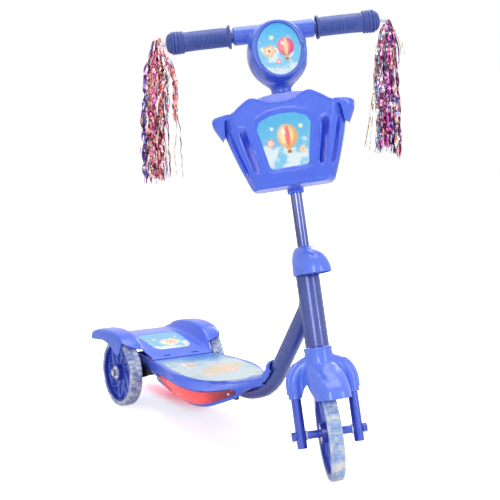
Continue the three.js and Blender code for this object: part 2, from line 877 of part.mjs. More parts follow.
function deckShell() {
  const outer = deckLoft(deckFront, deckRear, 15, 0);
  const frontHollow = deckLoft(deckFront - overrun, pocketFront - overrun, 10, plasticWall);
  const rearTop = pocketFloor - plasticWall;
  const hollowFront = pocketFront - overrun - seatGap;
  const rearHollow = deckLoft(hollowFront, deckRear - plasticWall, 4, plasticWall, rearTop);
  const ribs = [boardFront - overrun, batteryFront - overrun, pocketFront - overrun].map((y) => {
    const slab = block(
      at(-deckHalfWidth, y - deckRib / 2, deckRibBottom),
      at(deckHalfWidth, y + deckRib / 2, deckTop),
    );
    return common(slab, outer);
  });
  const pocket = block(
    at(-pocketHalfWidth, pocketFront, pocketFloor),
    at(pocketHalfWidth, pocketRear, deckTop + noseRise),
  );
  const collar = deckCollar(tubeRadius + 2 * seatGap + sleeveWall);
  const tubeClear = bentTube(tubeRadius + seatGap, tubeStart, at(0, deckRear + overrun, spineHeight));
  const ears = [-1, 1].flatMap((side) => [-1, 1].map((edge) => hingeEar(side, edge)));
  const sheetSeat = deckSheet(0, -seatGap, sheetThickness + overrun);
  const relief = block(
    at(-deckHalfWidth, pocketFront, saddleFrontHeight - plasticWall - 4 * seatGap),
    at(deckHalfWidth, deckRear + overrun, deckTop + noseRise),
  );
  const body = join(cut(outer, frontHollow, rearHollow, pocket, relief), ...ribs, collar, ...ears);
  const pinHole = hingePin(pinRadius + runningGap, pocketHalfWidth);
  return cut(body, tubeClear, pinHole, sheetSeat, ...[-1, 1].map(lensSeat), bracketClearance());
}

// The nose's collar follows the bent tube as a saddle over its upper half
function deckCollar(radius) {
  const sides = 16;
  const startShare = 0.98;
  const endShare = 0.3;
  const skirtShare = 0.2;
  const steps = 6;
  return loft(range(steps + 1).map((i) => {
    const angle = tubeDropAngle * (startShare + ((endShare - startShare) * i) / steps);
    const middle = bendPoint(angle);
    return range(sides).map((k) => {
      const turn = (2 * Math.PI * k) / sides;
      const up = radius * Math.max(Math.sin(turn), -skirtShare);
      return at(
        radius * Math.cos(turn),
        middle.y + up * Math.sin(angle),
        middle.z + up * Math.cos(angle),
      );
    });
  }));
}

function hingeEar(side, edge) {
  const middle = side * knucklePlace + edge * (knuckleWidth / 2 + seatGap + earThickness / 2);
  const [from, to] = [middle - earThickness / 2, middle + earThickness / 2];
  const post = block(
    at(from, hingePlace - knuckleRadius, pocketFloor - plasticWall / 2),
    at(to, hingePlace + knuckleRadius, hingeHeight),
  );
  return join(post, hingeBarrel(from, to));
}

function hingeBarrel(from, to) {
  return rod(knuckleRadius, at(from, hingePlace, hingeHeight), at(to, hingePlace, hingeHeight), 8);
}

function hingePin(radius, reach) {
  return rod(radius, at(-reach, hingePlace, hingeHeight), at(reach, hingePlace, hingeHeight), 10);
}

function bracketClearance() {
  const front = wheelbase - beamDepth / 2 - seatGap;
  const high = rearWheelRadius + beamHeight / 2 + seatGap;
  return block(at(-bracketHalfWidth, front, 0), at(bracketHalfWidth, deckRear + overrun, high));
}

// The printed sheet that lies in the deck's top
function deckSheet(inset, bottomOffset, topOffset) {
  const front = boardFront + sheetInset;
  const steps = 7;
  const edge = range(steps + 1).map((i) => {
    const y = front + ((sheetRear - front) * i) / steps;
    return [deckAt(y).width - sheetInset - inset, y + (i === 0 ? inset : 0) - (i === steps ? inset : 0)];
  });
  const outline = [...edge, ...edge.slice().reverse().map(([x, y]) => [-x, y])];
  const base = deckTop - sheetThickness;
  return prism(outline, base + bottomOffset, base + topOffset, 'z');
}

const shell = deckShell();
piece('deck_shell', shell, plasticBlue);
piece('deck_sheet', deckSheet(seatGap, 0, sheetThickness), printedSky);
for (const [side, name] of rearSides) {
  piece(`lens_${name}`, lens(side), redLens);
}

for (const [side, name] of rearSides) {
  const low = at(side > 0 ? boardPlace : -boardPlace - boardWidth, boardFront, boardTop - boardThickness);
  const high = at(low.x + boardWidth, boardFront + boardLength, boardTop);
  piece(`light_board_${name}`, block(low, high), boardGreen);
}

// Battery box under the deck beside the spine, with two cells and a lid from below
const boxTop = boardTop;
const boxLow = boxTop - batteryHeight;
const boxLeft = batteryOffset - batteryWidth / 2;
const boxBack = batteryFront + batteryLength;

function batteryBox() {
  const outer = block(at(boxLeft, batteryFront, boxLow), at(boxLeft + batteryWidth, boxBack, boxTop));
  const hollow = block(
    at(boxLeft + boxWall, batteryFront + boxWall, boxLow - overrun),
    at(boxLeft + batteryWidth - boxWall, boxBack - boxWall, boxTop - boxWall),
  );
  return cut(outer, hollow);
}
piece('battery_box', batteryBox(), darkPlastic);
for (const [side, name] of [[-1, 'inner'], [1, 'outer']]) {
  const middle = batteryOffset + side * (cellRadius + seatGap / 2);
  const height = boxTop - boxWall - seatGap - cellRadius;
  const from = at(middle, batteryFront + boxWall + seatGap, height);
  const to = at(middle, from.y + cellLength, height);
  piece(`battery_cell_${name}`, rod(cellRadius, from, to, 16), cellFinish);
}

function batteryLid() {
  const cover = block(
    at(boxLeft, batteryFront, boxLow - seatGap - boxWall),
    at(boxLeft + batteryWidth, boxBack, boxLow - seatGap),
  );
  const plug = block(
    at(boxLeft + boxWall + seatGap, batteryFront + boxWall + seatGap, boxLow - seatGap - boxWall / 2),
    at(boxLeft + batteryWidth - boxWall - seatGap, boxBack - boxWall - seatGap, boxLow + boxWall),
  );
  return join(cover, plug);
}
piece('battery_lid', batteryLid(), darkPlastic);

// Light switch: a housing under the deck on the other side, and its sliding knob
const switchMiddle = -batteryOffset;
const switchFront = batteryFront + switchLength;
const switchLow = boxTop - switchHeight;

function switchHousing() {
  const body = block(
    at(switchMiddle - switchWidth / 2, switchFront, switchLow),
    at(switchMiddle + switchWidth / 2, switchFront + switchLength, boxTop),
  );
  const slotRear = knobFront + knobLength + switchTravel + seatGap;
  const slot = block(
    at(switchMiddle - knobWidth / 2 - seatGap, knobFront - seatGap, switchLow - overrun),
    at(switchMiddle + knobWidth / 2 + seatGap, slotRear, knobRoof + seatGap),
  );
  return cut(body, slot);
}

const knobFront = switchFront + (switchLength - knobLength - switchTravel) / 2;
const knobRoof = switchLow + switchHeight / 3;
piece('switch_housing', switchHousing(), darkPlastic);
piece('light_switch', block(
  at(switchMiddle - knobWidth / 2, knobFront, knobRoof - knobHeight - switchHeight / 3),
  at(switchMiddle + knobWidth / 2, knobFront + knobLength, knobRoof),
), blackSteel);

// Two bolts from below hold the deck to the spine
for (const [name, y] of [['front', deckBoltPlaces[0]], ['rear', deckBoltPlaces[1]]]) {
  const under = spineHeight - tubeRadius - seatGap;
  const tip = deckTop - plasticWall - boltEngage;
  const head = rod(boltHeadRadius, at(0, y, under - boltHeadHeight), at(0, y, under), 6);
  const shank = rod(boltRadius, at(0, y, under - boltHeadHeight / 2), at(0, y, tip), 12);
  piece(`deck_bolt_${name}`, join(head, shank), brightSteel);
}

// Rear cover: a saddle between two arches, one moulding, pressed down as a heel brake
const saddleShares = [
  [0, 0], [0.06, 0.14], [0.2, 0.5], [0.38, 0.82], [0.58, 1], [0.78, 0.97], [1, 0.76],
];
const archShares = [
  [0, 0.12], [0.07, 0.44], [0.2, 0.8], [0.38, 0.98], [0.54, 1], [0.72, 0.82], [0.88, 0.45], [1, 0],
];
const skirtShares = [
  [0, 0.3], [0.1, 0.2], [0.2, 0], [0.32, 0.26], [0.44, 0.36], [0.7, 0.36], [0.9, 0.3], [1, 0.26],
];

function saddleHeight(share) {
  return saddleFrontHeight + (saddleTopHeight - saddleFrontHeight) * smooth(saddleShares, share, 1);
}

function archHeight(share) {
  return fenderTailHeight + (fenderTopHeight - fenderTailHeight) * smooth(archShares, share, 1);
}

function skirtHeight(share) {
  return skirtDropHeight + (fenderTopHeight - skirtDropHeight) * smooth(skirtShares, share, 1);
}

// Across the cover: [blend from saddle to arch, place from centre to outer edge, drop]
function coverPoint(share, station) {
  const { arch, x, drop, low } = station;
  const front = coverFront + (fenderFront - coverFront) * arch;
  const rear = coverRear + (fenderRear - coverRear) * arch;
  const y = front + (rear - front) * share;
  const top = saddleHeight(share) * (1 - arch) + archHeight(share) * arch - drop;
  const z = top + (Math.min(skirtHeight(share), top - plasticWall) - top) * low;
  return at(x, y, z);
}

function coverStations() {
  const blend = fenderInner - saddleHalfWidth;
  const width = fenderOuter - fenderInner;
  const half = [
    { arch: 0, x: saddleHalfWidth / 2, drop: 0, low: 0 },
    { arch: 0, x: saddleHalfWidth, drop: 0, low: 0 },
    { arch: 0.1, x: saddleHalfWidth + blend * 0.25, drop: 0, low: 0 },
    { arch: 0.5, x: saddleHalfWidth + blend * 0.5, drop: 0, low: 0 },
    { arch: 0.88, x: saddleHalfWidth + blend * 0.78, drop: 0, low: 0 },
    { arch: 1, x: fenderInner + width * 0.12, drop: 0, low: 0 },
    { arch: 1, x: fenderInner + width * 0.5, drop: 0, low: 0 },
    { arch: 1, x: fenderOuter - width * 0.14, drop: plasticWall * 0.3, low: 0 },
    { arch: 1, x: fenderOuter - width * 0.03, drop: plasticWall * 1.3, low: 0 },
    { arch: 1, x: fenderOuter, drop: plasticWall * 2.4, low: 0.12 },
    { arch: 1, x: fenderOuter + plasticWall * 0.4, drop: plasticWall * 2.4, low: 1 },
  ];
  const left = half.slice().reverse().map((station) => ({ ...station, x: -station.x }));
  return [...left, { arch: 0, x: 0, drop: 0, low: 0 }, ...half];
}

function coverGrid(rows) {
  return range(rows + 1).map((i) => coverStations().map((station) => coverPoint(i / rows, station)));
}

function rearCover() {
  const outer = coverGrid(10);
  const knuckles = [-1, 1].map((side) => {
    const [from, to] = [side * knucklePlace - knuckleWidth / 2, side * knucklePlace + knuckleWidth / 2];
    const roof = saddleFrontHeight;
    const post = block(
      at(from, hingePlace - knuckleRadius, hingeHeight),
      at(to, hingePlace + knuckleRadius, roof),
    );
    return join(post, hingeBarrel(from, to));
  });
  const skin = plate(outer, offsetGrid(outer, plasticWall));
  return cut(join(skin, ...knuckles), hingePin(pinRadius + runningGap, pocketHalfWidth));
}

const brakeCover = rearCover();
piece('rear_cover', brakeCover, plasticBlue);
piece('cover_pin', hingePin(pinRadius, pinReach), brightSteel);

function coverSheet() {
  const rows = 6;
  const columns = 4;
  const grid = range(rows + 1).map((i) => range(columns + 1).map((j) => {
    const share = sheetStartShare + ((sheetEndShare - sheetStartShare) * i) / rows;
    const x = coverSheetHalf * (-1 + (2 * j) / columns);
    return coverPoint(share, { arch: 0, x, drop: 0, low: 0 });
  }));
  return plate(offsetGrid(grid, -seatGap - sheetThickness), offsetGrid(grid, -seatGap));
}
piece('cover_sheet', coverSheet(), printedSky);

// Return spring between the deck and the cover's saddle
class Helix extends THREE.Curve {
  constructor(radius, height, turns) {
    super();
    this.radius = radius;
    this.height = height;
    this.turns = turns;
  }

  getPoint(t, target = new THREE.Vector3()) {
    const angle = 2 * Math.PI * this.turns * t;
    return target.set(this.radius * Math.cos(angle), this.radius * Math.sin(angle), this.height * t);
  }
}

function coverSpring() {
  const share = (springPlace - coverFront) / (coverRear - coverFront);
  const roof = saddleHeight(share) - plasticWall * 1.05 - 2 * seatGap;
  const floor = spineHeight + tubeRadius - springWire * 0.6;
  const path = new Helix(springRadius - springWire, roof - floor - 2 * springWire, springTurns);
  const coil = sweep(path, springWire, springTurns * 10, 5);
  return coil.translate(0, springPlace, floor + springWire);
}
piece('cover_spring', coverSpring(), brightSteel);

// Fork: an inverted U of round tube with the hollow steerer standing on its crown
function legPath(radiusExtra = 0) {
  const bendFrom = crownHeight - crownBend;
  const low = at(-legSpacing, 0, -legBelowAxle - radiusExtra);
  const corner = at(-legSpacing, 0, bendFrom);
  const shoulder = at(-legSpacing + crownBend, 0, crownHeight);
  const mirror = (point) => at(-point.x, point.y, point.z);
  const points = [low, at(-legSpacing, 0, bendFrom / 2), corner];
  const arcSteps = 4;
  for (let i = 1; i <= arcSteps; i += 1) {
    const angle = (Math.PI / 2) * (i / arcSteps);
    points.push(at(
      shoulder.x - crownBend * Math.cos(angle),
      0,
      bendFrom + crownBend * Math.sin(angle),
    ));
  }
  return [...points, ...points.slice().reverse().map(mirror)];
}

// Round section carried along a flat path in the XZ plane
function flatTube(points, radius, sides = 14) {
  return loft(points.map((point, i) => {
    const before = points[Math.max(i - 1, 0)];
    const after = points[Math.min(i + 1, points.length - 1)];
    const along = new THREE.Vector3().subVectors(after, before).normalize();
    const across = at(-along.z, 0, along.x);
    return range(sides).map((k) => {
      const turn = (2 * Math.PI * k) / sides;
      return at(
        point.x + radius * Math.cos(turn) * across.x,
        radius * Math.sin(turn),
        point.z + radius * Math.cos(turn) * across.z,
      );
    });
  }));
}

function fork() {
  const steerer = rod(steererRadius, at(0, 0, crownHeight), at(0, 0, steererTop));
  const hollow = rod(
    steererRadius - steererWall,
    at(0, 0, crownHeight + legRadius),
    at(0, 0, steererTop + overrun),
  );
  const legs = flatTube(legPath(), legRadius);
  const bore = rod(axleRadius + seatGap, at(-legSpacing * 2, 0, 0), at(legSpacing * 2, 0, 0));
  return cut(join(legs, steerer), hollow, bore);
}
piece('fork', fork(), paintBlue, steered);

// Front wheel, its bolt, nut and spacers
wheel('front_wheel', frontWheelRadius, frontTyreWidth, true, steered, here);
const legOuter = legSpacing + legRadius + seatGap;
const boltHead = rod(nutRadius, at(-legOuter - nutHeight, 0, 0), at(-legOuter, 0, 0), 6);
const boltEnd = legOuter + nutHeight + seatGap;
const boltShank = rod(axleRadius, at(-legOuter - nutHeight / 2, 0, 0), at(boltEnd, 0, 0));
piece('front_axle', join(boltHead, boltShank), brightSteel, steered);
piece('front_nut', nut(legOuter, legOuter + nutHeight, here), brightSteel, steered);
for (const [side, name] of rearSides) {
  const ends = [side * (hubBossHalf + seatGap), side * (legSpacing - legRadius - seatGap)];
  ends.sort((a, b) => a - b);
  const spacer = tubeRing(spacerRadius, spacerBore, ...ends, alongX, here, 12);
  piece(`front_spacer_${name}`, spacer, brightSteel, steered);
}

// Fork cover: a dome over the tyre with front and rear skirts, two shrouds and a collar
const domeShares = [
  [0, 1, 1],
  [0.3, 1.06, 0.95],
  [0.5, 1.1, 0.82],
  [0.68, 1.12, 0.64],
  [0.84, 1, 0.44],
  [1, 0.72, 0.26],
];

function domeRing(share, inward) {
  const top = coverTop - coverCollarHeight / 2;
  const height = skirtBottom - overrun + (top - skirtBottom + overrun - inward) * share;
  const halfWidth = skirtHalfWidth * smooth(domeShares, share, 1) - inward;
  const halfDepth = skirtReach * smooth(domeShares, share, 2) - inward;
  const sides = 16;
  return range(sides).map((k) => {
    const turn = (2 * Math.PI * k) / sides;
    const square = 0.62;
    const x = halfWidth * Math.sign(Math.cos(turn)) * Math.abs(Math.cos(turn)) ** square;
    const y = halfDepth * Math.sign(Math.sin(turn)) * Math.abs(Math.sin(turn)) ** square;
    return at(x, y, height);
  });
}

function dome(inward) {
  const steps = 5;
  return loft(range(steps + 1).map((i) => domeRing(i / steps, inward)));
}

function forkCover() {
  const collarLow = coverTop - coverCollarHeight;
  const collar = turned([
    [0, collarLow - overrun], [coverCollarRadius * 1.3, collarLow - overrun],
    [coverCollarRadius * 1.05, collarLow + overrun], [coverCollarRadius, coverTop], [0, coverTop],
  ], alongZ, here);
  const shroudPath = legPath().filter((point) => point.z >= 0);
  shroudPath[0].z = shroudBottom;
  shroudPath[shroudPath.length - 1].z = shroudBottom;
  const shrouds = flatTube(shroudPath, shroudRadius);
  const skin = cut(join(dome(0), shrouds, collar), dome(plasticWall));
  const bottomTrim = block(
    at(-legSpacing * 2, -skirtReach * 2, 0),
    at(legSpacing * 2, skirtReach * 2, skirtBottom),
  );
  const notch = prism([
    [-notchHalfDepth, skirtBottom - overrun], [-notchHalfDepth * 0.86, notchTop - overrun],
    [-notchHalfDepth * 0.55, notchTop], [notchHalfDepth * 0.55, notchTop],
    [notchHalfDepth * 0.86, notchTop - overrun], [notchHalfDepth, skirtBottom - overrun],
  ], -(legSpacing - shroudRadius), legSpacing - shroudRadius, 'x');
  const legClear = flatTube(legPath(overrun), legRadius + seatGap);
  const steererClear = rod(steererRadius + seatGap, at(0, 0, crownHeight), at(0, 0, coverTop + overrun));
  return cut(skin, bottomTrim, notch, legClear, steererClear);
}
piece('fork_cover', forkCover(), plasticBlue, steered);

// Column with a spigot in the steerer; the head cap hides the joint
function column() {
  const spigotRadius = steererRadius - steererWall - runningGap;
  const foot = steererTop + seatGap;
  const spigot = rod(spigotRadius, at(0, 0, foot - spigotLength), at(0, 0, foot + overrun));
  return join(spigot, rod(columnRadius, at(0, 0, foot), at(0, 0, columnTop)));
}
const columnTop = barHeight - barRadius - seatGap;
piece('column', column(), columnBlue, steered);

// Head cap: a hood on the head tube, steep behind and sloping forward to a visor
const capShares = [
  [0, 1, 1, 1], [0.2, 0.985, 0.99, 1], [0.4, 0.91, 0.95, 0.99], [0.6, 0.79, 0.875, 0.96],
  [0.78, 0.62, 0.755, 0.9], [0.92, 0.41, 0.59, 0.78], [1, 0.25, 0.45, 0.64],
];

function hoodRing(share, inward) {
  const front = capFrontReach * smooth(capShares, share, 1) - inward;
  const half = capHalfWidth * smooth(capShares, share, 2) - inward;
  const rear = capRearReach * smooth(capShares, share, 3) - inward;
  const sides = 16;
  return range(sides).map((k) => {
    const turn = (2 * Math.PI * k) / sides;
    const along = Math.sin(turn) * (front + rear) / 2 - (front - rear) / 2;
    return at(half * Math.cos(turn), along, capBottom + (capTop - capBottom - inward) * share);
  });
}

function hood(inward) {
  const steps = 6;
  const rings = range(steps + 1).map((i) => hoodRing(i / steps, inward));
  if (inward > 0) {
    rings.unshift(rings[0].map((point) => point.clone().setZ(capBottom - overrun)));
  }
  return loft(rings);
}

function headCap() {
  const seat = headTubeRadius + seatGap;
  const shoulder = headTubeTop + bushFlange + 2 * seatGap;
  const socket = rod(seat + capWall, at(0, 0, capBottom), at(0, 0, capTop - capWall));
  const socketBore = boreRadius(headTubeRadius, seatGap);
  const tubeClear = rod(socketBore, at(0, 0, capBottom - overrun), at(0, 0, shoulder));
  const bore = rod(boreRadius(columnRadius, seatGap), at(0, 0, capBottom), at(0, 0, capTop + overrun));
  const shellBody = cut(hood(0), hood(capWall));
  return cut(join(shellBody, common(socket, hood(0))), tubeClear, bore);
}
piece('head_cap', headCap(), plasticBlue, raked);

// Basket, built with its back to the column: plan sections that widen upwards
function basketRing(height, inward) {
  const share = (height - basketBottom) / (basketHumpTop - basketBottom);
  const swell = Math.sin(Math.min(share, 1.1) * Math.PI * 0.42) / Math.sin(Math.PI * 0.42);
  const half = basketBottomHalf + (basketTopHalf - basketBottomHalf) * swell;
  const reach = basketBottomReach + (basketTopReach - basketBottomReach) * share;
  const back = basketBack + inward;
  const front = reach - inward;
  const side = half - inward;
  const corner = basketCorner - inward;
  const backShare = 0.9;
  const points = [[-side * backShare, back], [side * backShare, back], [side, back + corner * 0.3]];
  const cornerSteps = 3;
  for (let k = 0; k <= cornerSteps; k += 1) {
    const turn = (Math.PI / 2) * (k / cornerSteps);
    points.push([side - corner + corner * Math.cos(turn), front - corner + corner * Math.sin(turn)]);
  }
  for (let k = cornerSteps; k >= 0; k -= 1) {
    const turn = (Math.PI / 2) * (k / cornerSteps);
    points.push([-side + corner - corner * Math.cos(turn), front - corner + corner * Math.sin(turn)]);
  }
  points.push([-side, back + corner * 0.3]);
  return points.map(([x, forward]) => at(x, -forward, height));
}

function basketLoft(low, high, inward) {
  const steps = 4;
  return loft(range(steps + 1).map((i) => basketRing(low + ((high - low) * i) / steps, inward)));
}

// The rim: high at the back, two humps and a dip along the front, lower at the sides
function rimCut(front) {
  const reachShares = front
    ? [[0, 0], [0.22, 0.3], [0.43, 1], [0.62, 0.5], [0.8, 0], [1.3, 0]]
    : [[0, 1], [0.36, 1], [0.6, 0.6], [0.8, 0], [1.3, 0]];
  const steps = 14;
  const top = front ? basketHumpTop : basketBackTop;
  const base = (share) => (front && share < 0.43 ? basketDipTop : basketSideTop);
  const line = range(2 * steps + 1).map((i) => {
    const share = ((i - steps) / steps) * 1.3;
    const place = Math.abs(share);
    return [share * basketTopHalf, base(place) + (top - base(place)) * smooth(reachShares, place, 1)];
  });
  const roof = basketBackTop + overrun * 4;
  const outline = [...line, [basketTopHalf * 1.3, roof], [-basketTopHalf * 1.3, roof]];
  const middle = (basketBack + basketTopReach) / 2;
  const [from, to] = front ? [middle, basketTopReach * 2] : [0, middle];
  return prism(outline, from, to, 'y');
}

// One rounded slot, cut straight in from the front or from the corner
function basketSlot(side, lowerX, upperX, turn) {
  const points = [];
  const radius = slotWidth / 2;
  const ends = [[lowerX, slotLowerEnd, Math.PI], [upperX, slotUpperEnd, 0]];
  for (const [x, height, from] of ends) {
    for (let k = 0; k <= 4; k += 1) {
      const angle = from + (Math.PI * k) / 4;
      points.push([x + radius * Math.cos(angle), height + radius * Math.sin(angle)]);
    }
  }
  const cutter = prism(points, 0, basketTopReach * 1.5, 'y');
  const pivot = basketTopReach * 0.4;
  cutter.translate(0, pivot, 0).rotateZ(turn).translate(0, -pivot, 0);
  if (side < 0) {
    cutter.applyMatrix4(new THREE.Matrix4().makeScale(-1, 1, 1));
  }
  return cutter;
}

// The rolled lip along each side: out from the rim and down towards the back
function basketLip(side) {
  const rows = 6;
  const lipShares = [[-0.35, -0.12], [0.15, 0.02], [0.55, 0.02], [0.88, -0.05], [1, -0.2]];
  const grid = range(rows + 1).map((i) => {
    const forward = lipFront + ((lipBack - lipFront) * i) / rows;
    const drop = lipDrop * (0.35 + 0.65 * Math.sin((Math.PI / 2) * Math.min(i / rows * 1.3, 1)));
    const points = lipShares.map(([out, up]) => [
      basketTopHalf + lipReach * out,
      basketSideTop + lipReach * up,
    ]);
    points.push([basketTopHalf + lipReach, basketSideTop - drop]);
    return points.map(([x, z]) => at(side * x, -forward, z));
  });
  const outward = side > 0 ? 1 : -1;
  return plate(grid, offsetGrid(grid, outward * basketWall * 0.8));
}

function basketClamp(height) {
  const ring = rod(clampRadius, at(0, 0, height), at(0, 0, height + clampHeight));
  const web = block(
    at(-clampRadius * 0.7, -basketBack - basketWall / 2, height),
    at(clampRadius * 0.7, 0, height + clampHeight),
  );
  return join(ring, web);
}

function basket() {
  const outer = basketLoft(basketBottom, basketBackTop + overrun, 0);
  const inner = basketLoft(basketBottom + basketWall, basketBackTop + overrun * 2, basketWall);
  const lips = [-1, 1].map(basketLip);
  const clamps = [basketBottom - clampHeight / 2, clampUpper].map(basketClamp);
  const slots = [-1, 1].flatMap((side) => [
    basketSlot(side, basketBottomHalf * 0.88, basketTopHalf * 0.64, 0),
    basketSlot(side, basketBottomHalf * 0.98, basketTopHalf * 0.72, Math.PI * 0.2),
  ]);
  const shellBody = cut(outer, rimCut(true), rimCut(false));
  const low = basketBottom - overrun * 3;
  const high = basketBackTop + overrun * 2;
  const columnClear = rod(columnRadius + seatGap / 2, at(0, 0, low), at(0, 0, high));
  const mouth = block(
    at(-clampRadius / 4, 0, low),
    at(clampRadius / 4, clampRadius * 2, basketBackTop),
  );
  return cut(join(shellBody, ...lips, ...clamps), inner, ...slots, columnClear, mouth);
}
piece('basket', basket(), plasticBlue, basketTurn);

// The printed panel lies on the sloping front wall
function basketPanel() {
  const slope = (basketTopReach - basketBottomReach) / (basketHumpTop - basketBottom);
  const corners = [
    [-panelBottomHalf, panelBottom], [panelBottomHalf, panelBottom],
    [panelTopHalf, panelTop - panelCorner], [panelTopHalf - panelCorner, panelTop],
    [-panelTopHalf + panelCorner, panelTop], [-panelTopHalf, panelTop - panelCorner],
  ];
  const flat = prism(corners, 0, panelThickness, 'y');
  const skew = new THREE.Matrix4().set(1, 0, 0, 0, 0, 1, -slope, 0, 0, 0, 1, 0, 0, 0, 0, 1);
  flat.applyMatrix4(skew);
  return flat.translate(0, slope * basketBottom - basketBottomReach - seatGap, 0);
}
piece('basket_panel', basketPanel(), printedSky, basketTurn);

// Lamp-shaped head: a rear body with neck and sleeves, and a front bezel
const bowlShares = [
  [0, 0.66], [0.12, 0.86], [0.3, 0.97], [0.5, 1], [0.7, 0.99], [0.86, 0.93], [1, 0.83],
];

function oval(halfWidth, halfHeight, forward, sides = 22) {
  return range(sides).map((k) => {
    const turn = (2 * Math.PI * k) / sides;
    return at(halfWidth * Math.cos(turn), -forward, lampHeight + halfHeight * Math.sin(turn));
  });
}

function bowl(from, to, inward, steps) {
  const length = lampFront + lampBack;
  return loft(range(steps + 1).map((i) => {
    const forward = from + ((to - from) * i) / steps;
    const share = Math.min(Math.max((forward + lampBack) / length, 0), 1);
    const size = smooth(bowlShares, share, 1);
    return oval(lampHalfWidth * size - inward, lampHalfHeight * size - inward, forward);
  }));
}

function ovalSlab(halfWidth, halfHeight, from, to) {
  return loft([oval(halfWidth, halfHeight, from), oval(halfWidth, halfHeight, to)]);
}

function lampNeck(grow) {
  const root = neckRadius + grow;
  return turned([
    [0, neckBottom - grow], [root, neckBottom - grow], [root, neckBottom + neckRise * 0.4],
    [root + neckFlare * 0.4, neckBottom + neckRise * 0.8], [root + neckFlare, neckBottom + neckRise],
    [0, neckBottom + neckRise + neckFlare / 2],
  ], alongZ, here);
}

function lampBody() {
  const back = bowl(-lampBack, lampSplit, 0, 5);
  const sleeves = rod(sleeveRadius, at(-sleeveEnd, 0, barHeight), at(sleeveEnd, 0, barHeight));
  const chamber = bowl(lampSplit - plasticWall * 1.5, lampSplit + overrun, neckRadius, 1);
  const barBore = rod(
    barRadius + runningGap,
    at(-sleeveEnd - overrun, 0, barHeight),
    at(sleeveEnd + overrun, 0, barHeight),
  );
  const columnBore = rod(columnRadius + runningGap, at(0, 0, neckBottom - overrun), at(0, 0, barHeight));
  return cut(join(back, sleeves, lampNeck(0)), chamber, barBore, columnBore);
}
piece('lamp_body', lampBody(), plasticBlue, steered);

const discBack = lampFront - discRecess - discThickness;
function lampBezel() {
  const face = bowl(lampSplit + seatGap, lampFront, 0, 4);
  const hollow = bowl(lampSplit - overrun, discBack - plasticWall, plasticWall * 1.4, 3);
  const seat = ovalSlab(
    discHalfWidth + seatGap,
    discHalfHeight + seatGap,
    discBack - seatGap,
    lampFront + overrun,
  );
  const windowOpening = ovalSlab(discHalfWidth * 0.86, discHalfHeight * 0.88, lampSplit, lampFront);
  const sleeveClear = rod(sleeveRadius + seatGap, at(-sleeveEnd, 0, barHeight), at(sleeveEnd, 0, barHeight));
  return cut(face, hollow, seat, windowOpening, sleeveClear, lampNeck(seatGap));
}
piece('lamp_bezel', lampBezel(), plasticBlue, steered);
const discPlate = ovalSlab(discHalfWidth, discHalfHeight, discBack, discBack + discThickness);
piece('lamp_disc', discPlate, printedSky, steered);

// Handlebar tube, closed at each end by the plug of its tassel
const barEnd = barHalfLength - flangeThickness;
function handlebar() {
  const tube = rod(barRadius, at(-barEnd, 0, barHeight), at(barEnd, 0, barHeight));
  const reach = barEnd + overrun;
  const bore = rod(plugRadius + runningGap, at(-reach, 0, barHeight), at(reach, 0, barHeight), 16);
  return cut(tube, bore);
}
piece('handlebar', handlebar(), paintBlue, steered);

function grip(side) {
  const bore = boreRadius(barRadius, runningGap, 12);
  const ribSpan = barHalfLength - bulbLength - gripStart - flangeThickness;
  const pitch = ribSpan / gripRibCount;
  const ribs = range(gripRibCount).flatMap((i) => {
    const start = gripStart + flangeThickness + pitch * (i + 0.35);
    const crest = [gripRadius + ribHeight, start + pitch * 0.3];
    return [[gripRadius, start], crest, [gripRadius, start + pitch * 0.6]];
  });
  const bulb = barHalfLength - bulbLength;
  const profile = [
    [bore, gripStart], [flangeRadius, gripStart], [flangeRadius, gripStart + flangeThickness],
    [gripRadius, gripStart + flangeThickness], ...ribs,
    [bulbRadius, bulb], [bulbRadius, barHalfLength - bulbLength * 0.3], [bulbRadius * 0.72, barHalfLength],
    [plugRadius + seatGap, barHalfLength], [plugRadius + seatGap, barEnd + seatGap], [bore, barEnd + seatGap],
  ];
  const turnedGrip = turned(profile, alongX, at(0, 0, barHeight), 12);
  return side > 0 ? turnedGrip : turnedGrip.applyMatrix4(new THREE.Matrix4().makeScale(-1, 1, 1));
}

// A tassel of foil strands: its plug seats in the bar's end, its strands hang straight down
const tasselShares = [
  [0.035, 0.12, 0.16], [0, 0.3, 0.4], [-0.05, 0.46, 0.6], [-0.16, 0.66, 0.8],
  [-0.4, 0.84, 0.94], [-0.75, 0.98, 1], [-1, 1, 0.9],
];
const plugMiddle = barHalfLength + plugReach;

for (const [side, name] of rearSides) {
  piece(`grip_${name}`, grip(side), gripBlue, steered);
  const plugEnds = [at(side * (barEnd - bulbLength), 0, barHeight), at(side * plugMiddle, 0, barHeight)];
  piece(`tassel_plug_${name}`, rod(plugRadius, ...plugEnds, 16), clearPlastic, steered);
  const top = steered.localToWorld(at(side * (plugMiddle + tasselOutset), 0, barHeight));
  top.z += tasselTopRise;
  const rings = tasselShares.map(([down, wide, deep]) => range(16).map((k) => {
    const turn = (2 * Math.PI * k) / 16;
    return at(
      top.x + tasselHalfWidth * wide * Math.cos(turn),
      top.y + tasselHalfDepth * deep * Math.sin(turn),
      top.z + tasselLength * down,
    );
  }));
  const plugLine = plugEnds.map((point) => steered.localToWorld(point.clone()));
  piece(`tassel_${name}`, cut(loft(rings), rod(plugRadius + seatGap, ...plugLine, 12)), foilPink);
}

// The origin is the middle of the footprint, on the ground
const bounds = new THREE.Box3().setFromObject(scooter, true);
const footprint = bounds.getCenter(at(0, 0, 0));
scooter.position.set(-footprint.x, -footprint.y, -bounds.min.z);
scooter.updateMatrixWorld(true);
export default scooter;
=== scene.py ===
import json
import math

import bmesh
import bpy
import numpy as np
from mathutils import Matrix


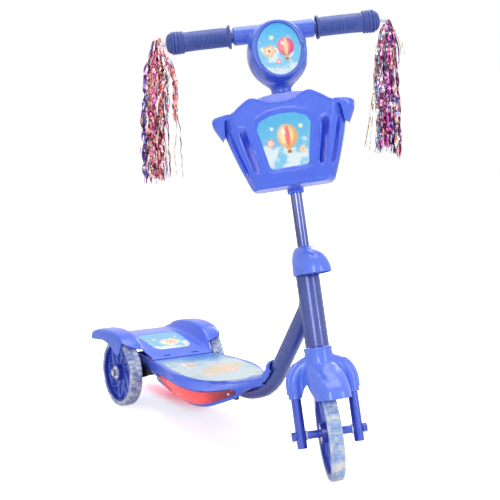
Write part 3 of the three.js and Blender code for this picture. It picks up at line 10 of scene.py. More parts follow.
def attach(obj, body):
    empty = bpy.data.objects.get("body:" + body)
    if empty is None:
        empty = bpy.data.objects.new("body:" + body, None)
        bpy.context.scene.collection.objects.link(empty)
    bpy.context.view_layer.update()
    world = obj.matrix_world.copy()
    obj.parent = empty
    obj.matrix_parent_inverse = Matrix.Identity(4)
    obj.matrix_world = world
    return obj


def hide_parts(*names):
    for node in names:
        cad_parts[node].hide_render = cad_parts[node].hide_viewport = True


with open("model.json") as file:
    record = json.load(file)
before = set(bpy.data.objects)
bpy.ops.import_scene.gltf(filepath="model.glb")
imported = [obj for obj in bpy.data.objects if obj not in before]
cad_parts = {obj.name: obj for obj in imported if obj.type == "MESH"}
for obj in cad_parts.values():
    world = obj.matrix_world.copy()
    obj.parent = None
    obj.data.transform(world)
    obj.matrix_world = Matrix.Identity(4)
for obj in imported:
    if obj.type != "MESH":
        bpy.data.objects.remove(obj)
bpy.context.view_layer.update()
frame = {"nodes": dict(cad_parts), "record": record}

# The CAD model's own frames, in millimetres: x across, y towards the back, z up
RAKE = math.radians(15.3)  # lean of the steering axis
STEER = math.radians(-29)  # turn of the steering in the photograph
BASKET_TURN = math.radians(-10)  # turn of the basket on its column
AXLE_HEIGHT = 67.892
ROW_SHIFT = np.array([0.0, -264.671, 0.0])
FRONT_AXLE = ROW_SHIFT + [0, 0, AXLE_HEIGHT]


def turn_x(angle):
    """Rotation about X: y and z turn towards each other by the angle."""
    c, s = math.cos(angle), math.sin(angle)
    return np.array([[1, 0, 0], [0, c, -s], [0, s, c]])


def turn_z(angle):
    """Rotation about Z: x and y turn towards each other by the angle."""
    c, s = math.cos(angle), math.sin(angle)
    return np.array([[c, -s, 0], [s, c, 0], [0, 0, 1]])


FRAMES = {
    "row": (ROW_SHIFT, np.eye(3)),
    "raked": (FRONT_AXLE, turn_x(-RAKE)),
    "steered": (FRONT_AXLE, turn_x(-RAKE) @ turn_z(STEER)),
    "basket": (FRONT_AXLE, turn_x(-RAKE) @ turn_z(STEER + BASKET_TURN)),
}


def to_row(points, where):
    """Millimetres in a named frame to metres in the row frame: the frame's turn, then its origin."""
    origin, turn = FRAMES[where]
    return (np.asarray(points, float) @ turn.T + origin) * 0.001


# ---------------------------------------------------------------- mesh helpers
def unit(v):
    """Each vector divided by its length."""
    return v / np.maximum(np.linalg.norm(v, axis=-1, keepdims=True), 1e-12)


def rise(low, high, x):
    """Smooth step: 0 below low, 1 above high, 3t^2 - 2t^3 between."""
    t = np.clip((np.asarray(x, float) - low) / (high - low), 0, 1)
    return t * t * (3 - 2 * t)


def table(rows):
    """Function through (place, value, ...) rows, joined by cubics; a row's slope is that of its two neighbours."""
    rows = np.array(rows, float)
    x, y = rows[:, 0], rows[:, 1:]
    slope = np.empty_like(y)
    slope[1:-1] = (y[2:] - y[:-2]) / (x[2:] - x[:-2])[:, None]
    slope[0] = (y[1] - y[0]) / (x[1] - x[0])
    slope[-1] = (y[-1] - y[-2]) / (x[-1] - x[-2])

    def value(place, column=0):
        """The cubic between the two rows round a place, as the sum of its four end terms."""
        p = np.clip(np.asarray(place, float), x[0], x[-1])
        i = np.clip(np.searchsorted(x, p, side="right") - 1, 0, len(x) - 2)
        h = x[i + 1] - x[i]
        t = (p - x[i]) / h
        a, b = y[i, column], y[i + 1, column]
        slope_a, slope_b = slope[i, column] * h, slope[i + 1, column] * h
        ends = (2 * t**3 - 3 * t**2 + 1) * a + (3 * t**2 - 2 * t**3) * b
        return ends + (t**3 - 2 * t**2 + t) * slope_a + (t**3 - t**2) * slope_b

    return value


def quads(rows, columns, wrap_columns=False, wrap_rows=False):
    """Faces of a grid of rows and columns, each joined to the next, and the last to the first where it wraps."""
    i = np.arange(rows if wrap_rows else rows - 1)[:, None]
    j = np.arange(columns if wrap_columns else columns - 1)[None]
    a, b = i * columns + j, i * columns + (j + 1) % columns
    k = ((i + 1) % rows) * columns
    return np.stack([a, b, k + (j + 1) % columns, k + j], -1).reshape(-1, 4)


class Parts:
    """Gathers the grids of one piece, with an optional colour for each point."""

    def __init__(self):
        """Starts with nothing in it."""
        self.points, self.faces, self.tints, self.count = [], [], [], 0

    def add(self, points, faces, tint=None):
        """Adds one grid, its faces numbered on from the points already here."""
        points = np.asarray(points, float).reshape(-1, 3)
        faces = faces.tolist() if isinstance(faces, np.ndarray) else faces
        self.points.append(points)
        self.faces += [[corner + self.count for corner in face] for face in faces]
        if tint is not None:
            self.tints.append(np.broadcast_to(np.asarray(tint, float), (len(points), 4)))
        self.count += len(points)
        return self


MERGE_WITHIN = 2e-6  # metres between points that are one and the same


def add_to_scene(name, data):
    """An object of that name and data, in the scene's own collection."""
    made = bpy.data.objects.new(name, data)
    bpy.context.scene.collection.objects.link(made)
    return made


def build(name, parts, where, material, body, replaces=(), sharp=38):
    """One finished piece: merged points, faces outwards, smooth but for edges sharper than an angle."""
    mesh = bpy.data.meshes.new(name)
    mesh.from_pydata(to_row(np.concatenate(parts.points), where).tolist(), [], parts.faces)
    mesh.polygons.foreach_set("use_smooth", [True] * len(mesh.polygons))
    if parts.tints:
        layer = mesh.attributes.new("tint", "FLOAT_COLOR", "POINT")
        layer.data.foreach_set("color", np.concatenate(parts.tints).astype(np.float32).ravel())
    own = mesh.attributes.new("own_mm", "FLOAT_VECTOR", "POINT")
    own.data.foreach_set("vector", np.concatenate(parts.points).astype(np.float32).ravel())
    work = bmesh.new()
    work.from_mesh(mesh)
    bmesh.ops.remove_doubles(work, verts=work.verts, dist=MERGE_WITHIN)
    bmesh.ops.recalc_face_normals(work, faces=work.faces)
    work.to_mesh(mesh)
    work.free()
    mesh.set_sharp_from_angle(angle=math.radians(sharp))
    mesh.materials.append(material)
    piece = add_to_scene(name, mesh)
    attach(piece, body)
    if replaces:
        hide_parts(*replaces)
    return piece


def rounded(profile, radius, steps=4, closed=True):
    """A flat polyline with each corner replaced by a curve of that radius, or of the row's own third value."""
    p = [np.array(q[:2], float) for q in profile]
    own = [q[2] if len(q) > 2 else radius for q in profile]
    out = []
    for i, corner in enumerate(p):
        last = not closed and i in (0, len(p) - 1)
        before, after = p[i - 1] - corner, p[(i + 1) % len(p)] - corner
        lb, la = np.linalg.norm(before), np.linalg.norm(after)
        if last or own[i] <= 0 or min(lb, la) < 1e-9:
            out.append(corner)
            continue
        before, after = before / lb, after / la
        angle = math.acos(float(np.clip(before @ after, -1, 1)))
        if angle > math.radians(176):
            out.append(corner)
            continue
        cut = min(own[i] / math.tan(angle / 2), lb * 0.48, la * 0.48)
        t = np.linspace(0, 1, steps + 1)[:, None]
        near, far = corner + before * cut, corner + after * cut
        out += list((1 - t) ** 2 * near + 2 * t * (1 - t) * corner + t * t * far)
    return np.array(out)


def turned(profile, axis="z", origin=(0, 0, 0), sides=64, soft=0.0, closed=True, steps=4):
    """A turned piece: each (radius, place) of its profile becomes a circle about the axis."""
    line = rounded(profile, soft, steps, closed) if soft else np.array([q[:2] for q in profile], float)
    turn = np.linspace(0, 2 * math.pi, sides, endpoint=False)
    r, a = line[:, 0][:, None], line[:, 1][:, None]
    c, s = np.cos(turn)[None], np.sin(turn)[None]
    flat = {"z": (r * c, r * s, a + 0 * c), "x": (a + 0 * c, r * c, r * s), "y": (r * s, a + 0 * c, r * c)}[axis]
    return np.stack(flat, -1).reshape(-1, 3) + np.array(origin, float), quads(len(line), sides, True, closed)


def swept(path, radius, sides=32, up=(0, 0, 1), flat=1.0, ends=True):
    """A round section carried along a path, its side kept square to the path; flat squeezes it along its normal."""
    path = np.asarray(path, float)
    count = len(path)
    radius = np.broadcast_to(np.asarray(radius, float), (count,))
    along = unit(np.gradient(path, axis=0))
    side = np.empty_like(along)
    start = np.cross(along[0], np.array(up, float))
    side[0] = unit(start if np.linalg.norm(start) > 1e-6 else np.cross(along[0], [1.0, 0, 0]))
    for i in range(1, count):
        side[i] = unit(side[i - 1] - along[i] * (side[i - 1] @ along[i]))
    other = np.cross(along, side)
    turn = np.linspace(0, 2 * math.pi, sides, endpoint=False)
    rings = np.cos(turn)[None, :, None] * side[:, None] + flat * np.sin(turn)[None, :, None] * other[:, None]
    points = (path[:, None] + radius[:, None, None] * rings).reshape(-1, 3)
    faces = quads(count, sides, True).tolist()
    if ends:
        faces += [list(range(sides))[::-1], [(count - 1) * sides + k for k in range(sides)]]
    return points, faces


def shell(place, s, t, wall, wrap=False, hole=None, relief=None, outward=1.0):
    """A moulded wall over place(S, T): points near a hole's outline move onto it, points inside are dropped,
    the outer face is lifted by relief, the inner face lies one wall below, and free edges join the two."""
    S, T = np.meshgrid(np.asarray(s, float), np.asarray(t, float))
    ds, dt = np.gradient(np.asarray(s, float))[None, :], np.gradient(np.asarray(t, float))[:, None]

    def slopes(function, S, T):
        """Slopes along S and T: the change over half a cell, by its width."""
        s_slope = function(S + ds / 4, T) - function(S - ds / 4, T)
        t_slope = function(S, T + dt / 4) - function(S, T - dt / 4)
        extra = (1,) * (s_slope.ndim - 2)
        return s_slope / (ds / 2).reshape(ds.shape + extra), t_slope / (dt / 2).reshape(dt.shape + extra)

    inside = np.zeros(S.shape, bool)
    if hole is not None:
        for _ in range(3):
            across_s, across_t = (np.linalg.norm(v, axis=-1) + 1e-9 for v in slopes(place, S, T))
            gap = hole(place(S, T))
            fall_s, fall_t = slopes(lambda a, b: hole(place(a, b)), S, T)
            fall_s, fall_t = fall_s / across_s, fall_t / across_t
            steep = fall_s**2 + fall_t**2
            near = (np.abs(gap) < 0.62 * np.maximum(across_s * ds, across_t * dt)) & (steep > 0.05)
            step = np.where(near, -gap / (steep + 1e-9), 0)
            S, T = S + step * fall_s / across_s, T + step * fall_t / across_t
        inside = hole(place(S, T)) < -0.02
    base = place(S, T)
    normal = outward * unit(np.cross(*slopes(place, S, T)))
    outer = base if relief is None else base + normal * relief(base)[..., None]
    inner = base - normal * wall
    rows, columns = S.shape
    faces = quads(rows, columns, wrap)
    keep = ~inside.ravel()[faces]
    full = faces[keep.all(1)]
    part = faces[keep.sum(1) == 3]
    part = part[keep[keep.sum(1) == 3]].reshape(-1, 3)
    edges = np.concatenate([f[:, [k, (k + 1) % f.shape[1]]] for f in (full, part) for k in range(f.shape[1])])
    total = rows * columns
    code, back = edges[:, 0] * total + edges[:, 1], edges[:, 1] * total + edges[:, 0]
    free = edges[~np.isin(code, back)]
    rim = np.stack([free[:, 1], free[:, 0], free[:, 0] + total, free[:, 1] + total], -1)
    groups = [full, part, full[:, ::-1] + total, part[:, ::-1] + total, rim]
    used = np.unique(np.concatenate([g.ravel() for g in groups]))
    index = np.zeros(2 * total, int)
    index[used] = np.arange(len(used))
    points = np.concatenate([outer.reshape(-1, 3), inner.reshape(-1, 3)])[used]
    return points, [face for g in groups for face in index[g].tolist()]


def slot_gap(flat, start, end, radius):
    """Distance outside a slot with round ends: distance to its middle line less its radius."""
    start, end = np.array(start, float), np.array(end, float)
    line = end - start
    t = np.clip(((flat - start) @ line) / (line @ line), 0, 1)
    return np.linalg.norm(flat - (start + t[..., None] * line), axis=-1) - radius


def bead(gap, middle, half, height):
    """A rounded raised line at a distance from an outline: height times a half oval over its width."""
    return height * np.clip(1 - ((gap - middle) / half) ** 2, 0, None) ** 0.75


# ---------------------------------------------------------------- materials
def srgb(text):
    """An sRGB hex value as linear light."""
    v = [int(text[i : i + 2], 16) / 255 for i in (1, 3, 5)]
    return tuple(c / 12.92 if c <= 0.04045 else ((c + 0.055) / 1.055) ** 2.4 for c in v) + (1.0,)


def node(tree, kind, inputs=None, into=None, out=0, **settings):
    """Adds one node: settings are its properties, inputs its socket values or the outputs that feed them, and
    into is the socket that it feeds itself."""
    made = tree.nodes.new("ShaderNode" + kind)
    for key, value in settings.items():
        setattr(made, key, value)
    for key, value in (inputs or {}).items():
        if isinstance(value, bpy.types.NodeSocket):
            tree.links.new(value, made.inputs[key])
        else:
            made.inputs[key].default_value = value
    if into is not None:
        tree.links.new(made.outputs[out], into)
    return made


def surface(name, constants):
    """An empty material: its node tree, its shader's sockets with the constants set, and its object coordinates."""
    material = bpy.data.materials.new(name)
    material.use_nodes = True
    tree = material.node_tree
    sockets = tree.nodes["Principled BSDF"].inputs
    for key, value in constants.items():
        sockets[key].default_value = value
    return material, tree, sockets, node(tree, "TexCoord").outputs["Object"]


def moulded_abs(name, colour, darker, lighter, rough=0.26, coat=0.25, skin_mm=1.6, skin=0.03):
    """Injection-moulded ABS, IOR 1.53: colour drifts through the wall over about 70 mm, flow lines run up it,
    and the tool's fine texture breaks its reflections. The eye gets an even, slightly soft gloss."""
    material, tree, shader, at = surface(name, {"IOR": 1.53, "Coat Weight": coat, "Coat Roughness": 0.1})
    cloud = node(tree, "TexNoise", {"Vector": at, "Scale": 1000 / 70, "Detail": 3.0}).outputs["Fac"]
    drift = node(tree, "MapRange", {"Value": cloud, "From Min": 0.32, "From Max": 0.68}).outputs["Result"]
    pair = node(tree, "Mix", {0: drift, 6: srgb(darker), 7: srgb(lighter)}, data_type="RGBA").outputs[2]
    node(tree, "Mix", {0: 0.5, 6: pair, 7: srgb(colour)}, shader["Base Color"], 2, data_type="RGBA")
    long = node(tree, "Mapping", {"Vector": at, "Scale": (1, 1, 0.3)}).outputs["Vector"]
    flow = node(tree, "TexNoise", {"Vector": long, "Scale": 60.0, "Detail": 2.0}).outputs["Fac"]
    node(tree, "MapRange", {"Value": flow, "From Min": 0.3, "From Max": 0.7, "To Min": rough - 0.05,
                            "To Max": rough + 0.06}, shader["Roughness"])
    fine = node(tree, "TexNoise", {"Vector": at, "Scale": 1000 / skin_mm, "Detail": 2.0}).outputs["Fac"]
    node(tree, "Bump", {"Height": fine, "Strength": skin, "Distance": 0.001}, shader["Normal"])
    return material


def lacquered_steel(name, colour, darker, lighter, rough=0.28, metallic=0.4, flake=0.2):
    """Stoved metallic lacquer on steel tube: orange peel of about 3 mm, small flakes, long faint streaks. The eye
    gets a deep glossy colour with narrow bright lines."""
    material, tree, shader, at = surface(name, {"Metallic": metallic, "Coat Weight": 0.6, "Coat Roughness": 0.06})
    cloud = node(tree, "TexNoise", {"Vector": at, "Scale": 22.0, "Detail": 4.0}).outputs["Fac"]
    drift = node(tree, "MapRange", {"Value": cloud, "From Min": 0.32, "From Max": 0.68}).outputs["Result"]
    pair = node(tree, "Mix", {0: drift, 6: srgb(darker), 7: srgb(lighter)}, data_type="RGBA").outputs[2]
    grain = node(tree, "TexNoise", {"Vector": at, "Scale": 1600.0, "Detail": 1.0}).outputs["Fac"]
    flakes = node(tree, "MapRange", {"Value": grain, "From Min": 0.56, "From Max": 0.74, "To Max": flake})
    speckled = node(tree, "Mix", {0: flakes.outputs[0], 6: pair, 7: srgb(lighter)}, data_type="RGBA").outputs[2]
    node(tree, "Mix", {0: 0.45, 6: speckled, 7: srgb(colour)}, shader["Base Color"], 2, data_type="RGBA")
    streak = node(tree, "TexNoise", {"Vector": at, "Scale": 90.0, "Detail": 3.0}).outputs["Fac"]
    node(tree, "MapRange", {"Value": streak, "From Min": 0.3, "From Max": 0.7, "To Min": rough - 0.05,
                            "To Max": rough + 0.07}, shader["Roughness"])
    peel = node(tree, "TexNoise", {"Vector": at, "Scale": 330.0, "Detail": 2.0}).outputs["Fac"]
    node(tree, "Bump", {"Height": peel, "Strength": 0.03, "Distance": 0.001}, shader["Normal"])
    return material


def zinc_steel(name, colour, bright, rough):
    """Bright zinc-plated steel: fine turned marks about 1.4 mm apart and cloudy passivation. The eye gets a silver
    that breaks into lighter and darker specks."""
    material, tree, shader, at = surface(name, {"Metallic": 1.0})
    marks = node(tree, "TexNoise", {"Vector": at, "Scale": 700.0, "Detail": 3.0}).outputs["Fac"]
    tone = node(tree, "MapRange", {"Value": marks, "From Min": 0.35, "From Max": 0.7}).outputs["Result"]
    node(tree, "Mix", {0: tone, 6: srgb(colour), 7: srgb(bright)}, shader["Base Color"], 2, data_type="RGBA")
    cloud = node(tree, "TexNoise", {"Vector": at, "Scale": 160.0, "Detail": 3.0}).outputs["Fac"]
    node(tree, "MapRange", {"Value": cloud, "From Min": 0.3, "From Max": 0.7, "To Min": rough * 0.7,
                            "To Max": rough * 1.4}, shader["Roughness"])
    node(tree, "Bump", {"Height": marks, "Strength": 0.05, "Distance": 0.001}, shader["Normal"])
    return material


def soft_pvc(name, deep, pale):
    """Clear soft PVC of the tyres: cloudy gel that passes and spreads light, IOR 1.52, moulded with a mirror face.
    The eye gets milky pale blue with bright streaks, and the blue hub through it."""
    constants = {"IOR": 1.52, "Transmission Weight": 0.3, "Coat Weight": 0.5, "Coat Roughness": 0.05}
    material, tree, shader, at = surface(name, constants)
    milk = node(tree, "TexNoise", {"Vector": at, "Scale": 70.0, "Detail": 4.0, "Roughness": 0.6}).outputs["Fac"]
    drift = node(tree, "MapRange", {"Value": milk, "From Min": 0.42, "From Max": 0.6}).outputs["Result"]
    node(tree, "Mix", {0: drift, 6: srgb(deep), 7: srgb(pale)}, shader["Base Color"], 2, data_type="RGBA")
    node(tree, "MapRange", {"Value": milk, "From Min": 0.35, "From Max": 0.65, "To Min": 0.1, "To Max": 0.3},
         shader["Roughness"])
    ripple = node(tree, "TexNoise", {"Vector": at, "Scale": 260.0, "Detail": 2.0}).outputs["Fac"]
    node(tree, "Bump", {"Height": ripple, "Strength": 0.25, "Distance": 0.001}, shader["Normal"])
    return material


def lit_lens(name, front, rear):
    """Red polystyrene lens lit from behind, IOR 1.59: the lamps' light fades along it, so its middle glows salmon
    and its ends stay maroon; a mirror-smooth moulded face with faint ribs on its inside, 6 mm apart."""
    constants = {"IOR": 1.59, "Roughness": 0.12, "Coat Weight": 0.6, "Coat Roughness": 0.04}
    material, tree, shader, at = surface(name, constants)
    y = node(tree, "SeparateXYZ", {0: at}).outputs["Y"]
    first = node(tree, "MapRange", {"Value": y, "From Min": front, "From Max": front + 0.052},
                 interpolation_type="SMOOTHSTEP")
    last = node(tree, "MapRange", {"Value": y, "From Min": rear, "From Max": rear - 0.038},
                interpolation_type="SMOOTHSTEP")
    lit = node(tree, "Math", {0: first.outputs[0], 1: last.outputs[0]}, operation="MULTIPLY").outputs[0]
    cloud = node(tree, "TexNoise", {"Vector": at, "Scale": 34.0, "Detail": 2.0}).outputs["Fac"]
    spread = node(tree, "MapRange", {"Value": cloud, "From Min": 0.35, "From Max": 0.65, "To Min": 0.84})
    lit = node(tree, "Math", {0: lit, 1: spread.outputs[0]}, operation="MULTIPLY").outputs[0]
    for dark, bright, socket in (("#8a1230", "#f0383c", "Base Color"), ("#5a0a1c", "#ff5a52", "Emission Color")):
        node(tree, "Mix", {0: lit, 6: srgb(dark), 7: srgb(bright)}, shader[socket], 2, data_type="RGBA")
    node(tree, "MapRange", {"Value": lit, "To Min": 0.05, "To Max": 0.4}, shader["Emission Strength"])
    ribs = node(tree, "TexWave", {"Vector": at, "Scale": 52.0, "Distortion": 0.4}, bands_direction="Y")
    node(tree, "Bump", {"Height": ribs.outputs["Fac"], "Strength": 0.06, "Distance": 0.001}, shader["Normal"])
    return material


def foil(name):
    """Metallised polyester foil: mirror-like, coloured by strand, with creases about 6 mm long that flash white, a
    painted glint that mixes near-white into the colour.
    """
    material, tree, shader, at = surface(name, {"Metallic": 0.75, "Coat Weight": 0.4, "Coat Roughness": 0.08})
    tint = node(tree, "Attribute", attribute_name="tint").outputs["Color"]
    wave = node(tree, "TexNoise", {"Vector": at, "Scale": 170.0, "Detail": 1.0}).outputs["Fac"]
    # painted glint: where the crease noise peaks, near-white is mixed into the strand's colour
    painted_glint = node(tree, "MapRange", {"Value": wave, "From Min": 0.58, "From Max": 0.7, "To Max": 0.6}).outputs[0]
    node(tree, "Mix", {0: painted_glint, 6: tint, 7: srgb("#fff4f2")}, shader["Base Color"], 2, data_type="RGBA")
    node(tree, "MapRange", {"Value": wave, "From Min": 0.3, "From Max": 0.7, "To Min": 0.16, "To Max": 0.34},
         shader["Roughness"])
    node(tree, "Bump", {"Height": wave, "Strength": 0.4, "Distance": 0.002}, shader["Normal"])
    return material


def oval_mask(tree, spot, middle, half, turn=0.0, soft=0.12):
    """Share of an oval on the print: 1 inside, 0 outside, from the length of the place scaled by its half sizes."""
    c, s = math.cos(turn), math.sin(turn)
    moved = node(tree, "VectorMath", {0: spot, 1: (*middle, 0)}, operation="SUBTRACT").outputs[0]
    across, along = (node(tree, "VectorMath", {0: moved, 1: way}, operation="DOT_PRODUCT").outputs["Value"]
                     for way in ((c / half[0], s / half[0], 0), (-s / half[1], c / half[1], 0)))
    flat = node(tree, "CombineXYZ", {0: across, 1: along}).outputs[0]
    far = node(tree, "VectorMath", {0: flat}, operation="LENGTH").outputs["Value"]
    return node(tree, "MapRange", {"Value": far, "From Min": 1 + soft, "From Max": 1 - soft}).outputs["Result"]


def petal_mask(tree, spot, middle, radius, count, depth, turn=0.0, soft=0.12):
    """Share of a flower or star: the place's distance against radius times 1 + depth cos(count angle)."""
    moved = node(tree, "VectorMath", {0: spot, 1: (*middle, 0)}, operation="SUBTRACT").outputs[0]
    parts = node(tree, "SeparateXYZ", {0: moved}).outputs
    angle = node(tree, "Math", {0: parts["Y"], 1: parts["X"]}, operation="ARCTAN2").outputs[0]
    wave = node(tree, "Math", {0: angle, 1: float(count), 2: turn}, operation="MULTIPLY_ADD").outputs[0]
    wave = node(tree, "Math", {0: wave}, operation="COSINE").outputs[0]
    reach = node(tree, "Math", {0: wave, 1: depth * radius, 2: radius}, operation="MULTIPLY_ADD").outputs[0]
    far = node(tree, "VectorMath", {0: moved}, operation="LENGTH").outputs["Value"]
    share = node(tree, "Math", {0: far, 1: reach}, operation="DIVIDE").outputs[0]
    return node(tree, "MapRange", {"Value": share, "From Min": 1 + soft, "From Max": 1 - soft}).outputs["Result"]


def printed_sheet(name, axes, deep, pale, cloud_from, cloud_to, cloud_mm, motifs, cloud="#f2fafc"):
    """Offset print under a gloss film: a sky that pales along one way, clouds that thicken towards one side, and
    motifs over it; the film gives a clear coat with a faint wrinkle. Its places are the sheet's own millimetres."""
    material, tree, shader, at = surface(name, {"IOR": 1.5, "Coat Weight": 0.5, "Coat Roughness": 0.08})
    own = node(tree, "Attribute", attribute_name="own_mm").outputs["Vector"]
    split = node(tree, "SeparateXYZ", {0: own}).outputs
    spot = node(tree, "CombineXYZ", {0: split[axes[0]], 1: split[axes[1]]}).outputs[0]
    way = node(tree, "MapRange", {"Value": split[axes[1]], "From Min": cloud_from, "From Max": cloud_to}).outputs[0]
    colour = node(tree, "Mix", {0: way, 6: srgb(deep), 7: srgb(pale)}, data_type="RGBA").outputs[2]
    puff = node(tree, "TexNoise", {"Vector": spot, "Scale": 1 / cloud_mm, "Detail": 5.0, "Roughness": 0.55})
    thick = node(tree, "Math", {0: way, 1: 0.34, 2: -0.2}, operation="MULTIPLY_ADD").outputs[0]
    puff = node(tree, "Math", {0: puff.outputs["Fac"], 1: thick}, operation="ADD").outputs[0]
    puff = node(tree, "MapRange", {"Value": puff, "From Min": 0.5, "From Max": 0.62},
                interpolation_type="SMOOTHSTEP").outputs["Result"]
    puff = node(tree, "Math", {0: puff, 1: 0.85}, operation="MULTIPLY").outputs[0]
    colour = node(tree, "Mix", {0: puff, 6: colour, 7: srgb(cloud)}, data_type="RGBA").outputs[2]
    for mask, middle, size, paint, *rest in motifs:
        share = mask(tree, spot, middle, size, *rest)
        colour = node(tree, "Mix", {0: share, 6: colour, 7: srgb(paint)}, data_type="RGBA").outputs[2]
    tree.links.new(colour, shader["Base Color"])
    dust = node(tree, "TexNoise", {"Vector": at, "Scale": 90.0, "Detail": 3.0}).outputs["Fac"]
    node(tree, "MapRange", {"Value": dust, "From Min": 0.3, "From Max": 0.7, "To Min": 0.2, "To Max": 0.34},
         shader["Roughness"])
    node(tree, "Bump", {"Height": dust, "Strength": 0.05, "Distance": 0.002}, shader["Normal"])
    return material


def balloon(x, y, size, light, dark, band="#fff3d6", turn=0.0):
    """A hot-air balloon as ovals: envelope, its lit side, a middle gore, a glint, a mouth and a basket; each is its
    offset and half sizes as shares of the balloon's size, its paint, its turn and its softness."""
    ovals = (
        (0, 0, 1, 1.12, dark, turn, 0.12), (-0.16, 0.12, 0.74, 0.9, light, turn, 0.3),
        (0, 0, 0.26, 1.08, band, turn, 0.2), (-0.36, 0.46, 0.16, 0.24, "#ffffff", 0.6, 0.5),
        (0, -1.16, 0.34, 0.14, "#f0b04a", turn, 0.2), (0, -1.52, 0.22, 0.18, "#b9743c", turn, 0.2),
    )
    return [(oval_mask, (x + size * a, y + size * b), (size * wide, size * tall), *paint)
            for a, b, wide, tall, *paint in ovals]


def flower(x, y, size, petals, heart, count=5, turn=0.6):
    """A flower: a lobed disc, a paler inner one and its heart."""
    return [
        (petal_mask, (x, y), size * 0.86, petals, count, 0.2, turn),
        (petal_mask, (x, y), size * 0.5, "#fff4ea", count, 0.22, turn, 0.3),
        (oval_mask, (x, y), (size * 0.24, size * 0.24), heart, 0.0, 0.2),
    ]


def star(x, y, size, colour, turn=1.2):
    """A five-pointed star with rounded points."""
    return [(petal_mask, (x, y), size * 0.72, colour, 5, 0.36, turn, 0.1)]


blue_abs = moulded_abs("periwinkle_abs", "#4a6ef0", "#4165e8", "#5679f5")
cover_abs = moulded_abs("cover_blue_abs", "#5c7ff6", "#5376f0", "#6989f9", rough=0.25, coat=0.35)
# painted shade: the lamp head is the basket's periwinkle plastic, given a duller, less blue copy of it for the shade
# on it
shaded_lamp_abs = moulded_abs("shaded_lamp_blue_abs", "#5071e0", "#4564d2", "#5e7eea")
# painted highlight: the hub's ribs are moulded with it, but get a lighter blue than its deep blue for the light their
# raised faces catch
rib_highlight_abs = moulded_abs("rib_highlight_blue_abs", "#5f7ff0", "#4f6fe6", "#7190f6", rough=0.22)
deep_abs = moulded_abs("deep_blue_abs", "#1f38ac", "#182f9a", "#2944bd", rough=0.3)
dark_abs = moulded_abs("charcoal_abs", "#22252c", "#1b1d23", "#2c3038", rough=0.48, coat=0.0)
grip_tpr = moulded_abs("grip_rubber", "#3f529f", "#374893", "#495eb0", rough=0.46, coat=0.0, skin_mm=0.9, skin=0.08)
lens_plug = moulded_abs("frosted_plug", "#dfe6ee", "#d2dae6", "#ebf0f7", rough=0.2)
board = moulded_abs("green_board", "#1f6b4c", "#1a5c41", "#267c59", rough=0.4, coat=0.1)
cell_wrap = moulded_abs("cell_wrap", "#b08a3e", "#9a7733", "#c29b4c", rough=0.2)
tube_paint = lacquered_steel("blue_lacquer", "#46569f", "#3d4b92", "#5262ae")
fork_paint = lacquered_steel("fork_lacquer", "#4860d2", "#3f55c6", "#556edd")
column_paint = lacquered_steel("column_lacquer", "#666eae", "#545c9c", "#8088c4", 0.12, metallic=0.85, flake=0.1)
black_paint = lacquered_steel("black_lacquer", "#17181c", "#101114", "#24262c", 0.42, metallic=0.2, flake=0.1)
bright_zinc = zinc_steel("zinc_plate", "#b4b9c4", "#eceff4", 0.17)
clear_pvc = soft_pvc("clear_soft_pvc", "#8ba6de", "#e2ecfb")
front_pvc = soft_pvc("front_soft_pvc", "#a9cbff", "#ffffff")
red_polystyrene = lit_lens("red_lit_lens", -0.077, 0.125)
foil_film = foil("metallised_foil")

lamp_sky = printed_sheet("lamp_print", ("X", "Z"), "#3fb6ee", "#8fd6f4", 575.0, 510.0, 17.0, [
    *balloon(9.5, 541.5, 11.5, "#ff8f9c", "#e2407c", "#ffd9a0"), *flower(-14.5, 537, 9.5, "#f7c37a", "#ef7f52"),
    *star(-9, 556, 4.0, "#fff2b0"), *flower(-3, 521, 4.2, "#f58aa8", "#ffd060"),
])
panel_sky = printed_sheet("panel_print", ("X", "Z"), "#4fb9e9", "#86d2f1", 430.0, 372.0, 21.0, [
    *balloon(3.0, 408, 13.5, "#ffe9b8", "#f4b04e", "#f47c74"), *flower(-21, 401, 6.2, "#f6a0ac", "#f9d266"),
    *flower(21, 388, 5.2, "#f9d58a", "#ef7f52", 6), *star(22.5, 419, 3.6, "#fff6c8"), *star(-17, 420, 3.0, "#ffffff"),
])
deck_sky = printed_sheet("deck_print", ("X", "Y"), "#1189d4", "#a6c9d2", 402.0, 336.0, 38.0, [
    (oval_mask, (6, 300), (40, 22), "#e2c8a2", 0.3, 0.5), (oval_mask, (-32, 322), (22, 13), "#bfd8dc", 0.2, 0.5),
    *flower(18, 288, 12, "#f5b78e", "#ec7d5c", 6), *flower(-30, 276, 8, "#f4c8a0", "#f08f6a"),
    *star(44, 312, 6, "#f3a76b"), *balloon(-26, 352, 11, "#fff1cc", "#f3b45a", "#ef8c86", 3.14),
], "#c6dade")
cover_sky = printed_sheet("cover_print", ("X", "Y"), "#49b6e4", "#7fcdee", 505.0, 440.0, 24.0, [
    (oval_mask, (4, 470), (19, 13), "#fdf3d2", 0.1, 0.25), *flower(6, 471, 11, "#f6b45e", "#ea6f4e", 7),
    *flower(-20, 486, 5.4, "#f7a3a8", "#f9d266"), *star(26, 492, 4.2, "#fff2b0"),
    *flower(26, 452, 4.4, "#f8cf86", "#ef7f52"),
])

finishes = {
    "blue_plastic": blue_abs, "hub_plastic": deep_abs, "grip_rubber": grip_tpr, "dark_plastic": dark_abs,
    "blue_paint": tube_paint, "dark_blue_paint": column_paint, "black_steel": black_paint,
    "bright_steel": bright_zinc, "clear_tyre": clear_pvc, "red_lens": red_polystyrene, "printed_sky": panel_sky,
    "light_board": board, "cell": cell_wrap, "foil": foil_film, "clear_plastic": lens_plug,
}
painted_nodes = {"front_nut": fork_paint, "front_axle": fork_paint, "deck_bolt_front": black_paint}

node_slots = {item["node"]: item["material_slot"] for item in frame["record"]["subparts"]}
for name, cad in frame["nodes"].items():
    for place in cad.material_slots:
        place.material = painted_nodes.get(name, finishes[node_slots[name]])


